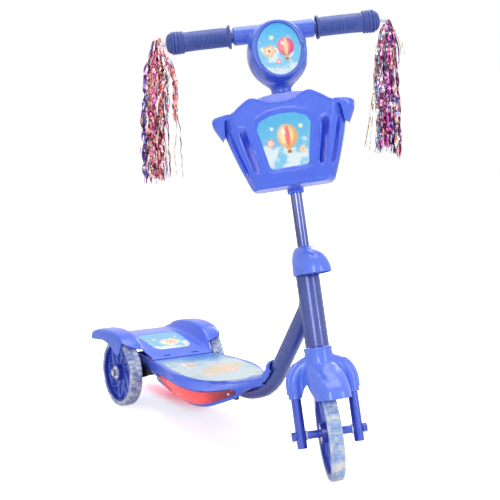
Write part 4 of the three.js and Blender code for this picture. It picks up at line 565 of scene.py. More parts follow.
# ---------------------------------------------------------------- fields and skins
def skin(field, low, high, step):
    """The surface where a field of the place is zero. Each cell of a lattice that it crosses gets a point at the
    mean of its edge crossings, moved down the field's slope until the field is zero; each crossed edge a face."""
    axes = [np.arange(a, b + step, step) for a, b in zip(low, high)]
    spots = np.stack(np.meshgrid(*axes, indexing="ij"), -1)
    f = field(spots)
    cells = tuple(n - 1 for n in f.shape)
    total, count, ring = np.zeros(cells + (3,)), np.zeros(cells), []
    for a in range(3):
        b, c = (a + 1) % 3, (a + 2) % 3
        fore = [slice(None)] * 3
        aft = [slice(None)] * 3
        fore[a], aft[a] = slice(0, -1), slice(1, None)
        f0, f1 = f[tuple(fore)], f[tuple(aft)]
        crossed = (f0 < 0) != (f1 < 0)
        share = np.where(crossed, f0 / np.where(crossed, f0 - f1, 1), 0)
        spot = spots[tuple(fore)] + share[..., None] * (spots[tuple(aft)] - spots[tuple(fore)])
        for shift_b in (0, 1):
            for shift_c in (0, 1):
                cut = [slice(None)] * 3
                cut[b] = slice(shift_b, cells[b] + shift_b)
                cut[c] = slice(shift_c, cells[c] + shift_c)
                total += np.where(crossed[tuple(cut)][..., None], spot[tuple(cut)], 0)
                count += crossed[tuple(cut)]
        edge = np.argwhere(crossed)
        edge = edge[(edge[:, b] > 0) & (edge[:, c] > 0) & (edge[:, b] < cells[b]) & (edge[:, c] < cells[c])]
        down_b, down_c = np.eye(3, dtype=int)[b], np.eye(3, dtype=int)[c]
        loop = np.stack([edge - down_b - down_c, edge - down_c, edge, edge - down_b], 1)
        rising = f0[tuple(edge.T)] < 0
        loop[~rising] = loop[~rising][:, ::-1]
        ring.append(loop)
    ring = np.concatenate(ring)
    flat = np.ravel_multi_index(ring.reshape(-1, 3).T, cells)
    used, index = np.unique(flat, return_inverse=True)
    points = total.reshape(-1, 3)[used] / np.maximum(count.reshape(-1)[used], 1)[:, None]
    h = 0.15
    for _ in range(4):
        value = field(points)
        slope = np.stack([field(points + h * e) - field(points - h * e) for e in np.eye(3)], -1) / (2 * h)
        move = -value[:, None] * slope / np.maximum((slope**2).sum(-1, keepdims=True), 0.05)
        size = np.linalg.norm(move, axis=-1, keepdims=True)
        points = points + move * np.minimum(1, 0.6 * step / np.maximum(size, 1e-9))
    return points, index.reshape(-1, 4)


def merge(a, b, soft):
    """Smooth union of two fields: the lower one, with a fillet of about that radius between them."""
    h = np.clip(0.5 + 0.5 * (b - a) / soft, 0, 1)
    return b + (a - b) * h - soft * h * (1 - h)


def carve(a, b, soft=0.6):
    """The first field with the second cut out, its edge softened."""
    return -merge(-a, b, soft)


def past_faces(q):
    """Signed distance from a corner, from how far a place lies past each of its two faces."""
    return np.linalg.norm(np.maximum(q, 0), axis=-1) + np.minimum(q.max(-1), 0)


def rod(p, start, end, radius, soft=0.0):
    """Distance from a straight round bar with flat ends, its end edges rounded."""
    start, end = np.array(start, float), np.array(end, float)
    along = unit(end - start)
    d = p - (start + end) / 2
    t = d @ along
    r = np.sqrt(np.maximum((d * d).sum(-1) - t * t, 0))
    return past_faces(np.stack([r - radius + soft, np.abs(t) - np.linalg.norm(end - start) / 2 + soft], -1)) - soft


def polygon_gap(flat, corners, radius=0.0):
    """Signed distance from a flat polygon: to its nearest side, less inside, with its corners rounded."""
    corners = np.array(corners, float)
    best = np.full(flat.shape[:-1], 1e9)
    inside = np.zeros(flat.shape[:-1], bool)
    for a, b in zip(corners, np.roll(corners, -1, 0)):
        e, w = b - a, flat - a
        t = np.clip((w @ e) / (e @ e), 0, 1)
        best = np.minimum(best, np.linalg.norm(w - t[..., None] * e, axis=-1))
        cross = (a[1] > flat[..., 1]) != (b[1] > flat[..., 1])
        x = a[0] + (flat[..., 1] - a[1]) * e[0] / (e[1] if e[1] else 1e-9)
        inside ^= cross & (flat[..., 0] < x)
    return np.where(inside, -best, best) - radius


def block(low, high):
    """A plain block between two corners: its eight corners and its six faces."""
    z, y, x = np.meshgrid((low[2], high[2]), (low[1], high[1]), (low[0], high[0]), indexing="ij")
    faces = [[0, 2, 3, 1], [4, 5, 7, 6], [0, 1, 5, 4], [2, 6, 7, 3], [0, 4, 6, 2], [1, 3, 7, 5]]
    return np.stack([x, y, z], -1).reshape(-1, 3), faces


# ---------------------------------------------------------------- basket
WALL = 2.6  # of every large moulding
FLOOR = 343.0  # height of the basket's floor up the column
FLARE = 126.0  # height over which its sides and its front lean out
FOOT_HALF, FOOT_REACH = 57.0, 57.0  # its floor's half width, and how far that stands forward
TOP_HALF, FRONT_LEAN = 92.0, 29.0  # half width at the humps, and how far the front leans out
FLOOR_MIDDLE = 35.0  # how far in front of the column the middle of the floor is
RIM_LEVEL = 462.0  # height at which the rim's line is laid out
rim_front = table([[0, 455.5], [0.22, 458], [0.43, 464], [0.6, 457], [0.74, 449], [0.86, 446.5], [1.3, 448]])
rim_back = table([[0, 482.5], [0.17, 482], [0.36, 479], [0.6, 468], [0.8, 454], [1.3, 452]])


def basket_half(height):
    """Half width: 57 at the floor, growing by a sine to 92 at the humps."""
    share = np.clip((height - FLOOR) / FLARE, 0, 1.1)
    return FOOT_HALF + (TOP_HALF - FOOT_HALF) * np.sin(share * math.pi * 0.42) / math.sin(math.pi * 0.42)


def basket_reach(height):
    """How far the front stands forward: 57 at the floor, leaning out by 29 over the flare."""
    return FOOT_REACH + FRONT_LEAN * (height - FLOOR) / FLARE


def basket_section(S, height, inward=0.0):
    """Round the basket at a height: S is 0 at the middle of the back and 1 at the middle of the front. It runs
    along the back, a 9 mm corner, the side, a 30 degree turn of 14 mm, a slanting cheek at 60 degrees, the turn
    of 10 mm that catches the light, and the front; the sign of S is the side."""
    signed = (np.asarray(S, float) + 1) % 2 - 1
    a = np.abs(signed)
    half = basket_half(height) - inward
    reach = basket_reach(height) - inward
    rear, k = 13 + inward, 9.0 - inward * 0.6
    first, second = 10.0 - inward * 0.5, 14.0 - inward * 0.5
    sin60 = math.sin(math.pi / 3)
    flat = 0.74 * (half + inward) - inward * 0.6
    cheek = (half - second * (1 - sin60) - flat - sin60 * first) / 0.5
    v_turn = reach - 0.5 * first
    v_cheek = v_turn - sin60 * cheek
    v_side = v_cheek - 0.5 * second
    spans = ((0, 0.18), (0.18, 0.23), (0.23, 0.34), (0.34, 0.4), (0.4, 0.6), (0.6, 0.69))
    back, bend, side, turn, slope, nose = (np.clip((a - low) / (high - low), 0, 1) for low, high in spans)
    front = np.clip((a - 0.69) / 0.31, 0, 1)
    t1, t2, t3 = bend * math.pi / 2, math.pi / 2 - turn * math.pi / 6, (1 - nose) * math.pi / 3
    x = back * (half - k) + k * np.sin(t1)
    x = x + second * (np.sin(t2) - 1) - 0.5 * cheek * slope + first * (np.sin(t3) - sin60) - front * flat
    v = rear + k * (1 - np.cos(t1)) + side * (v_side - rear - k) + second * np.cos(t2) + sin60 * cheek * slope
    v = v + first * (np.cos(t3) - 0.5)
    return np.where(signed < 0, -x, x), v


def basket_rim(x, v):
    """Rim height: the front line where the wall stands forward, the back line behind."""
    share = np.abs(x) / TOP_HALF
    return np.where(v > 45, rim_front(share), rim_back(share))


def basket_place(S, T):
    """T from -1 to 0 crosses the floor from its middle to its rounded edge, and from 0 to 1 climbs to the rim."""
    edge = 5.0
    bend = np.clip(T / 0.06, 0, 1) * math.pi / 2
    top = basket_rim(*basket_section(S, RIM_LEVEL))
    climb = np.clip((T - 0.06) / 0.94, 0, 1)
    height = FLOOR + edge * (1 - np.cos(bend)) + climb * (top - FLOOR - edge)
    x, v = basket_section(S, height, edge * (1 - np.sin(bend)))
    spread = np.clip(1 + T, 0, 1)
    return np.stack([x * spread, -(FLOOR_MIDDLE + (v - FLOOR_MIDDLE) * spread), height], -1)


PANEL_CORNER = 5.0
panel_corners = [
    (-22, 372.5), (22, 372.5), (27.2, 400), (31.6, 421), (29, 427), (16, 432), (0, 433.5), (-16, 432), (-29, 427),
    (-31.6, 421), (-27.2, 400),
]


def basket_slots(p):
    """Distance outside the nearest of four upright slots: two at the ends of the front, two on the cheeks."""
    x, y, z = np.abs(p[..., 0]), p[..., 1], p[..., 2]
    half = basket_half(z)
    past = np.maximum(np.maximum(370.5 - z, z - 421), 0)
    ahead = np.hypot(x - 0.682 * half, past) - 4.9
    cheek = np.hypot((x - 0.898 * half) * 1.9, past) - 5.2
    return np.where(y < -41, np.minimum(ahead, cheek), 60)


def basket_relief(p):
    """Raised line round each slot and round the panel, and a bead along the rim."""
    x, v = p[..., 0], -p[..., 1]
    lines = bead(basket_slots(p), 1.6, 1.2, 1.25)
    frame_gap = polygon_gap(p[..., [0, 2]], panel_corners, PANEL_CORNER)
    lines = lines + np.where(v > 50, bead(frame_gap, 6.4, 1.2, 0.4), 0)
    seat = np.where(v > 50, -0.5 * (1 - rise(0.2, 0.9, frame_gap)), 0)
    return lines + seat + bead(basket_rim(x, v) - p[..., 2], 1.9, 2.0, 1.1)


lip_form = table([
    [0, 0, 0], [0.12, 1.0, 1.6], [0.26, 4.0, 2.4], [0.38, 6.8, 1.4], [0.47, 8.4, -0.8], [0.54, 9.0, -3.4],
    [0.7, 8.6, -3.4], [1, 3.4, -3.4],
])


def lip_place(S, T):
    """The rolled lip of one side: S runs back from the fold of the cheek, T rolls out over the edge and hangs down
    along the wall. Its reach grows from nothing at the fold to 9 mm beyond the cheek, and its hang from 4 mm to
    26 mm and back to 12 mm at its rear end."""
    grown = rise(-0.1, 0.62, S)
    hang = np.clip((T - 0.54) / 0.46, 0, 1) * (4 + 22 * rise(0.18, 0.5, S) - 14 * rise(0.84, 1, S))
    sunk = 1.3 * rise(0.16, 0, S)
    x, v = basket_section(0.62 - 0.36 * S, 447.0 - 0.8 * hang, sunk - 0.4 - grown * lip_form(T, 0) * 1.12)
    return np.stack([x, -v, 448.2 + (0.3 + 0.7 * grown) * lip_form(T, 1) - hang], -1)


basket_parts = Parts()
levels = np.concatenate([np.linspace(-1, -0.04, 14), np.linspace(0, 0.06, 5), np.linspace(0.075, 1, 76)])
round_it = np.linspace(-1, 1, 321)[:-1]
basket_parts.add(*shell(basket_place, round_it, levels, 2.4, True, basket_slots, basket_relief, -1.0))
for side in (1, -1):
    points, faces = shell(lip_place, np.linspace(0, 1, 80), np.linspace(0, 1, 40), 1.7, outward=-1.0)
    basket_parts.add(points * [side, 1, 1], faces)
for low, reach in ((338.5, 12.0), (436.0, 13.5)):  # the two collars round the column, each with its web
    basket_parts.add(*turned([(8.9, low), (reach, low), (reach, low + 14), (8.9, low + 14)], soft=1.0))
    basket_parts.add(*block((0.7 * -reach, -14.2, low + 0.4), (0.7 * reach, -9.3, low + 13.6)))
build("basket_moulding", basket_parts, "basket", blue_abs, "steering", ["basket"])


def basket_front(S, T):
    """The sloping front wall's plane, 0.35 mm out: across by S and up by T, in millimetres."""
    return np.stack([S, -basket_reach(T) - 0.35 + 0 * S, T], -1)


panel = shell(basket_front, np.linspace(-42, 42, 85), np.linspace(362, 442, 81), 0.8,
              hole=lambda p: -polygon_gap(p[..., [0, 2]], panel_corners, PANEL_CORNER + 0.2))
build("basket_print", Parts().add(*panel), "basket", panel_sky, "steering", ["basket_panel"])


# ---------------------------------------------------------------- lamp-shaped head
BAR_HEIGHT = 576.0  # of the handlebar, up the column
LAMP_HEIGHT = 539.5  # of the lamp's middle
bowl_size = table([[0, 0.5], [0.05, 0.68], [0.14, 0.85], [0.3, 0.96], [0.5, 1], [0.7, 0.99], [0.86, 0.94], [1, 0.86]])


def past_oval(x, z, wide, tall):
    """How far a place lies past an oval, as a share of the oval's size."""
    return np.sqrt((x / wide) ** 2 + (z / tall) ** 2) - 1


def lamp_field(p):
    """Bowl (an oval of 44 by 47, sized along its depth by a table, flat at both ends), two sleeves and a flared neck,
    grown together with fillets; a stepped recess holds the disc, and a groove shows where bowl and bezel meet."""
    x, y, z = p[..., 0], p[..., 1], p[..., 2]
    v, up = -y, z - LAMP_HEIGHT
    size = bowl_size(np.clip((v + 24) / 67, 0, 1))
    ring = past_oval(x, up, 44 * size, 47 * size) * (44 * size * (47 * size)) ** 0.5
    bowl = -merge(-ring, np.minimum(v + 24, 43 - v), 2.4)
    sleeves = rod(p, (-58.6, 0, BAR_HEIGHT), (58.6, 0, BAR_HEIGHT), 13, 1.4)
    neck_radius = 15 + 8 * rise(490, 506, z) ** 1.4
    neck = -merge(-(np.hypot(x, y) - neck_radius), np.minimum(z - 483, 512 - z), 1.2)
    whole = merge(merge(bowl, sleeves, 4.0), neck, 7.0)
    recess = np.maximum(past_oval(x, up, 31.2, 37.9) * 34, 37.6 - v)
    ledge = np.maximum(past_oval(x, up, 34.2, 40.9) * 37, 41.3 - v)
    hollow = np.maximum(np.maximum(ring + 3.4, 14 - v), v - 36.5)
    bar_bore = rod(p, (-70, 0, BAR_HEIGHT), (70, 0, BAR_HEIGHT), 9.75)
    column_bore = rod(p, (0, 0, 470), (0, 0, BAR_HEIGHT), 8.8)
    groove = np.maximum(np.maximum(np.abs(v - 12) - 0.35, -(ring + 0.7)), -(sleeves - 0.4))
    groove = np.maximum(groove, -(neck - 0.4))
    whole = carve(carve(whole, recess, 0.4), ledge, 0.8)
    return carve(carve(whole, np.minimum(hollow, np.minimum(bar_bore, column_bore)), 0.4), groove, 0.3)


build("lamp_moulding", Parts().add(*skin(lamp_field, (-62, -46, 480), (62, 27, 592), 1.25)), "steered", shaded_lamp_abs,
      "steering", ["lamp_body", "lamp_bezel"])


def disc_place(S, T):
    """A slightly domed oval plate: S is the turn, T the share of its radius."""
    depth = -(38.2 + 1.2 * (1 - T**2))
    return np.stack([30.5 * T * np.cos(S), depth, LAMP_HEIGHT + 37.2 * T * np.sin(S)], -1)


disc = shell(disc_place, np.linspace(0, 2 * math.pi, 121)[:-1], np.linspace(0, 1, 24), 1.0, True)
build("lamp_print", Parts().add(*disc), "steered", lamp_sky, "steering", ["lamp_disc"])


# ---------------------------------------------------------------- fork cover
LEG_PLACE, LEG_BEND = 40.3, 30.0  # a fork leg's place to the side, and the radius of the bend over it
CROWN_HALF = 10.3  # half the straight crown between the bends
BEND_START, CROWN_HEIGHT = 69.0, 99.0  # heights over the axle where a leg begins to bend, and of the crown
dome_wide = table([[0, 28], [0.2, 28.5], [0.4, 28.8], [0.6, 28.6], [0.8, 27], [0.93, 23], [1, 19]])
dome_deep = table([[0, 66], [0.3, 62.7], [0.5, 54.5], [0.68, 43], [0.84, 30], [0.94, 22], [1, 16]])


def dome_gap(p, inward=0.0):
    """Plan superellipse of the dome at each height, half width and half depth from tables, power 2.9; below the
    collar it is turned 10 degrees about the column."""
    z = p[..., 2]
    share = np.clip((z - 42) / (56 - inward), 0, 1)
    a, b = dome_wide(share) - inward, dome_deep(share) - inward
    turn = math.radians(10) * (1 - rise(88, 104, z))
    x = np.abs(np.cos(turn) * p[..., 0] + np.sin(turn) * p[..., 1]) / a
    y = np.abs(np.cos(turn) * p[..., 1] - np.sin(turn) * p[..., 0]) / b
    ring = ((x**2.9 + y**2.9) ** (1 / 2.9) - 1) * np.minimum(a, b) * 0.8
    return -merge(-ring, -(z - (98 - inward)), 5.0)


def leg_gap(p, radius):
    """Distance from the fork's path: two legs, two quarter bends of 30 mm and the crown between them."""
    x, y, z = np.abs(p[..., 0]), p[..., 1], p[..., 2]
    none = 1e3
    leg = np.where(z < BEND_START, np.abs(x - LEG_PLACE), none)
    over = np.abs(np.hypot(x - CROWN_HALF, z - BEND_START) - LEG_BEND)
    bend = np.where((z >= BEND_START) & (x >= CROWN_HALF), over, none)
    crown = np.where(x < CROWN_HALF, np.abs(z - CROWN_HEIGHT), none)
    return np.hypot(np.minimum(np.minimum(leg, bend), crown), y) - radius


def cover_field(p):
    """Dome, two shrouds down the legs and a collar, grown together; a raised band runs down the front of each
    shroud; hollowed, trimmed, and notched by a slanting V between shroud and skirt."""
    x, y, z = p[..., 0], p[..., 1], p[..., 2]
    shroud = np.maximum(leg_gap(p, 9.8 + 0.9 * rise(56, 50, z)), 51.8 - z)
    band = np.maximum(np.maximum(leg_gap(p, 11.6), np.abs(y + 1.5) - 5.0), 58 - z)
    shroud = merge(shroud, np.maximum(band, z - 101), 1.2)
    reach = 19.6 + 2.6 * rise(106, 88, z) + 0.5 * rise(114, 117.5, z)
    collar = -merge(-(np.hypot(x, y) - reach), np.minimum(118.9 - z, z - 82), 0.7)
    whole = merge(merge(dome_gap(p), shroud, 5.0), collar, 3.0)
    whole = np.maximum(whole, 47 - z)
    slant = np.clip((69 - z) / 22, 0, 1)
    turned_y = math.cos(0.17) * y - math.sin(0.17) * x
    notch = np.maximum(np.maximum(np.abs(turned_y) - (18 + 23 * slant), z - 69), np.abs(x) - (25 + 9.5 * slant))
    behind = np.maximum(np.maximum(6 - y, z - 69 - 0.3 * np.clip(y - 10, 0, 40)), np.abs(x) - 31)
    legs = np.maximum(leg_gap(p, 7.4), z - 120)
    steerer = np.maximum(np.hypot(x, y) - 9, 96 - z)
    hollow = np.minimum(np.minimum(dome_gap(p, 2.6), np.minimum(notch, behind)), np.minimum(legs, steerer))
    return carve(whole, hollow, 0.9)


build("fork_cover_moulding", Parts().add(*skin(cover_field, (-54, -70, 44), (54, 70, 121), 1.2)), "steered",
      cover_abs, "steering", ["fork_cover"])


# ---------------------------------------------------------------- deck
BAND = 11.0  # height of the rounded edge and the band under the deck's top
SHEET_HALF, SHEET_REAR = 67.0, 404.0
NOSE_START, NOSE_LENGTH, NOSE_POWER = 299.0, 78.0, 2.2  # where the sheet's nose begins, and its superellipse
LENS_FRONT, LENS_REAR, LENS_LENGTH = 186.0, 392.0, 206.0
BEND_ANGLE, BEND_RADIUS, BEND_END = math.radians(56), 110.0, 221.24  # of the bent tube, and where it comes level
SPINE_HEIGHT = 72.0
deck_shares = table([
    [0, 0.24, 0.62, -1.12], [0.05, 0.34, 0.48, -0.92], [0.1, 0.46, 0.35, -0.7], [0.15, 0.62, 0.22, -0.42],
    [0.21, 0.81, 0.11, -0.15], [0.28, 0.94, 0.06, 0.1], [0.36, 1, 0.05, 0.22], [0.45, 1, 0.05, 0.24],
    [0.56, 0.94, 0.05, 0.21], [0.68, 0.84, 0.04, 0.12], [0.78, 0.77, 0, 0], [0.88, 0.73, 0.08, -0.1],
    [1, 0.71, 0.13, -0.14],
])
top_share = table([
    [142, 1], [160, 0.85], [178, 0.7], [200, 0.6], [220, 0.5], [236, 0.6], [251, 0.76], [274, 0.87], [299, 0.96],
    [320, 1], [500, 1],
])


def deck_size(y):
    """Half width, top and underside of the deck at a place along it, from the table of shares."""
    share = (y - 142) / 355
    return 79 * deck_shares(share, 0), 90 + 44 * deck_shares(share, 1), 90 - 42 * (0.76 + deck_shares(share, 2))


def sheet_half(y):
    """Half width of the deck's sheet: 67 mm behind, closing forward as a superellipse in a rounded nose at y 221."""
    closing = np.clip((NOSE_START - y) / NOSE_LENGTH, 0, 1) ** NOSE_POWER
    return np.minimum(SHEET_HALF * (1 - closing) ** (1 / NOSE_POWER), deck_size(y)[0] - 8)


def flank_size(y):
    """The flank at a place along the deck: half width, how far it turns in, its upper edge and its depth."""
    width, top, bottom = deck_size(y)
    return width, 0.36 * width, top - BAND, np.maximum(top - BAND - bottom, 3.5)


def flank_point(y, t, out=0.0):
    """The deck's flank: a quarter oval from the band (t 0) to the keel (t 1), moved out along its normal."""
    width, inset, edge, depth = flank_size(y)
    c, s = np.cos(t * math.pi / 2), np.sin(t * math.pi / 2)
    n = out / np.hypot(c / inset, s / depth)
    return width - inset + inset * c + n * c / inset, edge - depth * s - n * s / depth


def lens_band(y):
    """Middle and half spread of the lens on the flank, as shares of its quarter turn: half width 6.5 mm, swelling
    by a sine to 16 mm; last, the millimetres in one share."""
    swell = np.sin(math.pi * np.clip((y - LENS_FRONT) / LENS_LENGTH, 0.0005, 0.9995))
    _, inset, _, depth = flank_size(y)
    scale = math.pi / 4 * (inset + depth)
    return 0.37 + 0.05 * swell, (6.5 + 9.5 * swell**0.9) / scale, scale


def deck_place(S, T):
    """Across the deck by S, from its middle line over the rounded edge and the band down the flank; T is y. Behind
    y 409 the top drops to the pocket in which the rear cover is hinged."""
    a, y = np.abs(S), T
    width, top, _ = deck_size(y)
    level = width * top_share(y)
    flat = np.clip(a / 0.56, 0, 1)
    turn = np.clip((a - 0.56) / 0.06, 0, 1) * math.pi / 2
    band = np.clip((a - 0.62) / 0.1, 0, 1)
    x = flat * (level - 3.5) + 3.5 * np.sin(turn) + band * (width - level)
    z = top - 3.5 * (1 - np.cos(turn)) - 7.5 * band ** (1 + 0.8 * (1 - level / width))
    flank_x, flank_z = flank_point(y, np.clip((a - 0.72) / 0.28, 0, 1))
    x, z = np.where(a > 0.72, flank_x, x), np.where(a > 0.72, flank_z, z)
    sunk = rise(408.7, 409.3, y)
    floor = 79 + 8 * rise(48.4, 49.6, np.abs(x)) + 8 * rise(491.2, 491.8, y)
    z = np.where(a <= 0.72, z + sunk * (np.minimum(z, np.minimum(floor, 86.9)) - z), z)
    return np.stack([np.sign(S) * x, y, z], -1)


def sheet_gap(p):
    """Distance outside the deck's printed sheet: sides and a straight rear, and in front the same rounded nose,
    there as its formula's value over the formula's slope."""
    x, y = np.abs(p[..., 0]), p[..., 1]
    side = x - sheet_half(np.maximum(y, NOSE_START))
    ahead = np.maximum(NOSE_START - y, 0)
    value = (x / SHEET_HALF) ** NOSE_POWER + (ahead / NOSE_LENGTH) ** NOSE_POWER - 1
    slope = NOSE_POWER * np.hypot(x**1.2 / SHEET_HALF**NOSE_POWER, ahead**1.2 / NOSE_LENGTH**NOSE_POWER) + 1e-6
    return np.maximum(np.where(y < NOSE_START, value / np.maximum(slope, 0.012), side), y - SHEET_REAR)


def deck_relief(p):
    """Recess for the sheet, with a fine raised border; a sunk seat round each lens, and a bead under it."""
    y, z = p[..., 1], p[..., 2]
    _, _, edge, depth = flank_size(y)
    t = np.arcsin(np.clip((edge - z) / depth, 0, 1)) / (math.pi / 2)
    middle, spread, scale = lens_band(y)
    past = [np.abs(t - middle) * scale - spread * scale + 6, np.maximum(LENS_FRONT + 6 - y, y - LENS_REAR + 6)]
    lens = past_faces(np.stack(past, -1)) - 6.9
    keel_bead = rise(-0.02, 0.12, t - middle) * bead(lens, 3.4, 3.2, 3.2)
    seat = np.where(z < edge + 0.1, -2.4 * (1 - rise(-0.8, 0.1, lens)) + bead(lens, 1.5, 1.4, 0.6) + keel_bead, 0)
    sheet = sheet_gap(p)
    recess = -0.7 * (1 - rise(-0.1, 0.6, sheet)) + bead(sheet, 2.2, 1.4, 0.45)
    return seat + np.where((z > edge + BAND - 0.3) & (y < SHEET_REAR + 3), recess, 0)


def bend_point(angle):
    """The bent tube's middle line: a 110 mm arc that ends level at z 72."""
    along = BEND_END - BEND_RADIUS * np.sin(angle)
    return np.stack([0 * angle, along, SPINE_HEIGHT + BEND_RADIUS * (1 - np.cos(angle))], -1)


def hole_for_tube(p):
    """Distance outside the bent tube's clearance through the nose."""
    best = np.full(p.shape[:-1], 1e9)
    for spot in bend_point(np.linspace(0, BEND_ANGLE, 40)):
        best = np.minimum(best, np.linalg.norm(p - spot, axis=-1))
    return np.where(p[..., 1] < 200, best - 13.1, 50)


deck_across = np.concatenate([np.linspace(-1, -0.72, 30), np.linspace(-0.705, -0.6, 8),
                              np.linspace(-0.575, 0.575, 84), np.linspace(0.6, 0.705, 8), np.linspace(0.72, 1, 30)])
deck_along = np.concatenate([np.linspace(142, 408.7, 132), [409, 409.3], np.linspace(412, 491.2, 30),
                             [491.5, 491.8, 494.5, 497]])
deck_parts = Parts()
deck_parts.add(*shell(deck_place, deck_across, deck_along, WALL, relief=deck_relief, hole=hole_for_tube))


def collar_place(S, T):
    """The nose's saddle: a half-round section carried down the bent tube from a beaded mouth 14 mm above the bend,
    21 mm in radius there and widening to 29 mm where it sinks into the deck."""
    mouth = np.clip(1 - T / 0.16, 0, 1)
    angle = BEND_ANGLE * (1.0 - 0.64 * np.clip((T - 0.16) / 0.84, 0, 1))
    up_tube = np.array([0, -math.cos(BEND_ANGLE), math.sin(BEND_ANGLE)])
    middle = bend_point(angle) + 14 * mouth[..., None] * up_tube
    lip = 1.3 * np.exp(-(((T - 0.05) / 0.035) ** 2)) - 1.4 * rise(0.03, 0, T)
    radius = 19.6 + lip + 9 * rise(0.25, 1, T)
    S = math.pi / 2 + (S - math.pi / 2) * (1.1 - 0.3 * rise(0.1, 0.7, T))
    up = radius * np.sin(S)
    return np.stack([radius * np.cos(S), middle[..., 1] + up * np.sin(angle), middle[..., 2] + up * np.cos(angle)], -1)


deck_parts.add(*shell(collar_place, np.linspace(0, math.pi, 65), np.linspace(0, 1, 56), 2.4, outward=-1.0))
KNUCKLE, EAR = 27.0, 6.55  # how far to the side a hinge knuckle is, and an ear from its knuckle
for side in (-1, 1):
    for edge in (-1, 1):
        middle = side * KNUCKLE + edge * EAR
        deck_parts.add(*block((middle - 1.7, 416.9, 77), (middle + 1.7, 423.1, 87.2)))
build("deck_moulding", deck_parts, "row", blue_abs, "frame", ["deck_shell"])


def sheet_place(S, T):
    """The sheet lies on the deck's top, 0.2 mm under its edge."""
    return np.stack([S, T, deck_size(T)[1] - 0.2], -1)


deck_sheet = shell(sheet_place, np.linspace(-72, 72, 97), np.linspace(215, 407, 129), 0.45,
                   hole=lambda p: -(sheet_gap(p) + 0.25))
build("deck_print", Parts().add(*deck_sheet), "row", deck_sky, "frame", ["deck_sheet"])


def lens_place(S, T):
    """One lens: along the flank by T, across its band by S, bulging as a flattened arch, closed by a quarter circle
    at each end."""
    y = LENS_FRONT + LENS_LENGTH * T
    middle, spread, _ = lens_band(y)
    end = np.clip(np.minimum(y - LENS_FRONT, LENS_REAR - y) / 6.5, 0, 1)
    closing = np.sqrt(np.clip(1 - (1 - end) ** 2, 0.0004, 1))
    arch = 0.6 + 2.6 * np.sin(math.pi * np.clip(T, 0.001, 0.999)) ** 0.7
    bulge = arch * (1 - np.abs(S) ** 3) * closing - 0.9 * np.abs(S) ** 6
    x, z = flank_point(y, middle + S * spread * closing, bulge)
    return np.stack([x, y, z], -1)


lens_along = 0.5 - 0.5 * np.cos(np.linspace(0.01, math.pi - 0.01, 130))  # closer rows towards both ends
screw_lean = np.array([[math.cos(0.5), 0, math.sin(0.5)], [0, 1, 0], [-math.sin(0.5), 0, math.cos(0.5)]])
for side, name in ((-1, "right"), (1, "left")):
    flip = np.array([side, 1, 1])
    points, faces = shell(lens_place, np.linspace(-1, 1, 33), lens_along, 1.6)
    build(f"lens_cover_{name}", Parts().add(points * flip, faces), "row", red_polystyrene, "frame",
          [f"lens_{name}"])
    screws = Parts()
    for y in (193.5, 384.5):
        x, z = flank_point(np.array(y), np.array(0.37), 1.2)
        points, faces = turned([(0, 1.6), (1.6, 1.3), (2.5, 0.4), (2.6, -1.2), (0, -1.2)], "x", sides=24, closed=False)
        screws.add((points @ screw_lean.T + [float(x), y, float(z)]) * flip, faces)
    build(f"lens_screws_{name}", screws, "row", bright_zinc, "frame")


# ---------------------------------------------------------------- rear cover
COVER_HEIGHT, SADDLE_RISE = 91.0, 18.0  # of the cover's front edge, and how far its middle rises over that
HINGE = (0, 420, 87.2)
saddle_share = table([[0, 0], [0.06, 0.14], [0.2, 0.5], [0.38, 0.82], [0.58, 1], [0.78, 0.97], [1, 0.76]])
arch_share = table([
    [0, 0.16], [0.07, 0.46], [0.2, 0.78], [0.36, 0.92], [0.52, 0.93], [0.7, 0.84], [0.84, 0.71], [0.93, 0.57],
    [0.975, 0.46], [1, 0.35],
])
skirt_share = table([
    [0, 0.12], [0.05, 0.03], [0.1, 0], [0.16, 0.05], [0.28, 0.25], [0.42, 0.37], [0.58, 0.41], [0.75, 0.36],
    [0.88, 0.3], [0.95, 0.28], [0.98, 0.29], [1, 0.32],
])
station = table([
    [0, 0, 0, 0, 0], [0.25, 26, 0, 0, 0], [0.48, 50, 0, 0, 0], [0.54, 56, 0.1, 0, 0], [0.59, 60.5, 0.5, 0, 0],
    [0.64, 65, 0.9, 0, 0], [0.7, 71.8, 1, 0, 0], [0.78, 83.75, 1, 0, 0], [0.86, 95.1, 1, 0.78, 0],
    [0.9, 98.4, 1, 2.9, 0.02], [0.93, 99.6, 1, 6.2, 0.14], [1, 100.5, 1, 6.2, 1],
])


def cover_place(S, T):
    """The cover: along it by T, across by S over the saddle, the arch and down the skirt, by a table of stations;
    the fender's front corner is a quarter oval in plan."""
    x, arch, drop, low = (station(np.abs(S), k) for k in range(4))
    arch, low = np.clip(arch, 0, 1), np.clip(low, 0, 1)
    corner = 1 - np.sqrt(np.clip(1 - np.clip((x - 70) / 30.6, 0, 1) ** 2, 0, 1))
    front, rear = 412 + 28 * arch + 22 * corner, 588 - 10 * arch - 6 * corner
    y = front + (rear - front) * T
    saddle_top, fender_top = COVER_HEIGHT + SADDLE_RISE * saddle_share(T), 103 + 28 * arch_share((y - 440) / 138)
    top = saddle_top * (1 - arch) + fender_top * arch - drop
    z = top + (np.minimum(92 + 39 * skirt_share(T), top - 2.6) - top) * low
    return np.stack([np.sign(S) * x, y, z], -1)


def cover_slots(p):
    """Two slots near the cover's front edge, over the hinge knuckles."""
    flat = np.stack([np.abs(p[..., 0]), p[..., 1]], -1)
    return np.where(p[..., 2] > 85, slot_gap(flat, (21, 421.5), (33, 421.5), 1.7), 50)


def cover_print_gap(p, grow=0.0):
    """Distance outside the cover's sheet: a block with 15 mm corners, narrowing a little toward the front."""
    taper = 1 + 0.07 * (481 - p[..., 1]) / 39
    flat = np.stack([p[..., 0] * taper, p[..., 1]], -1)
    return past_faces(np.abs(flat - np.array((0.0, 481.0))) - (38 + grow) + 15) - 15


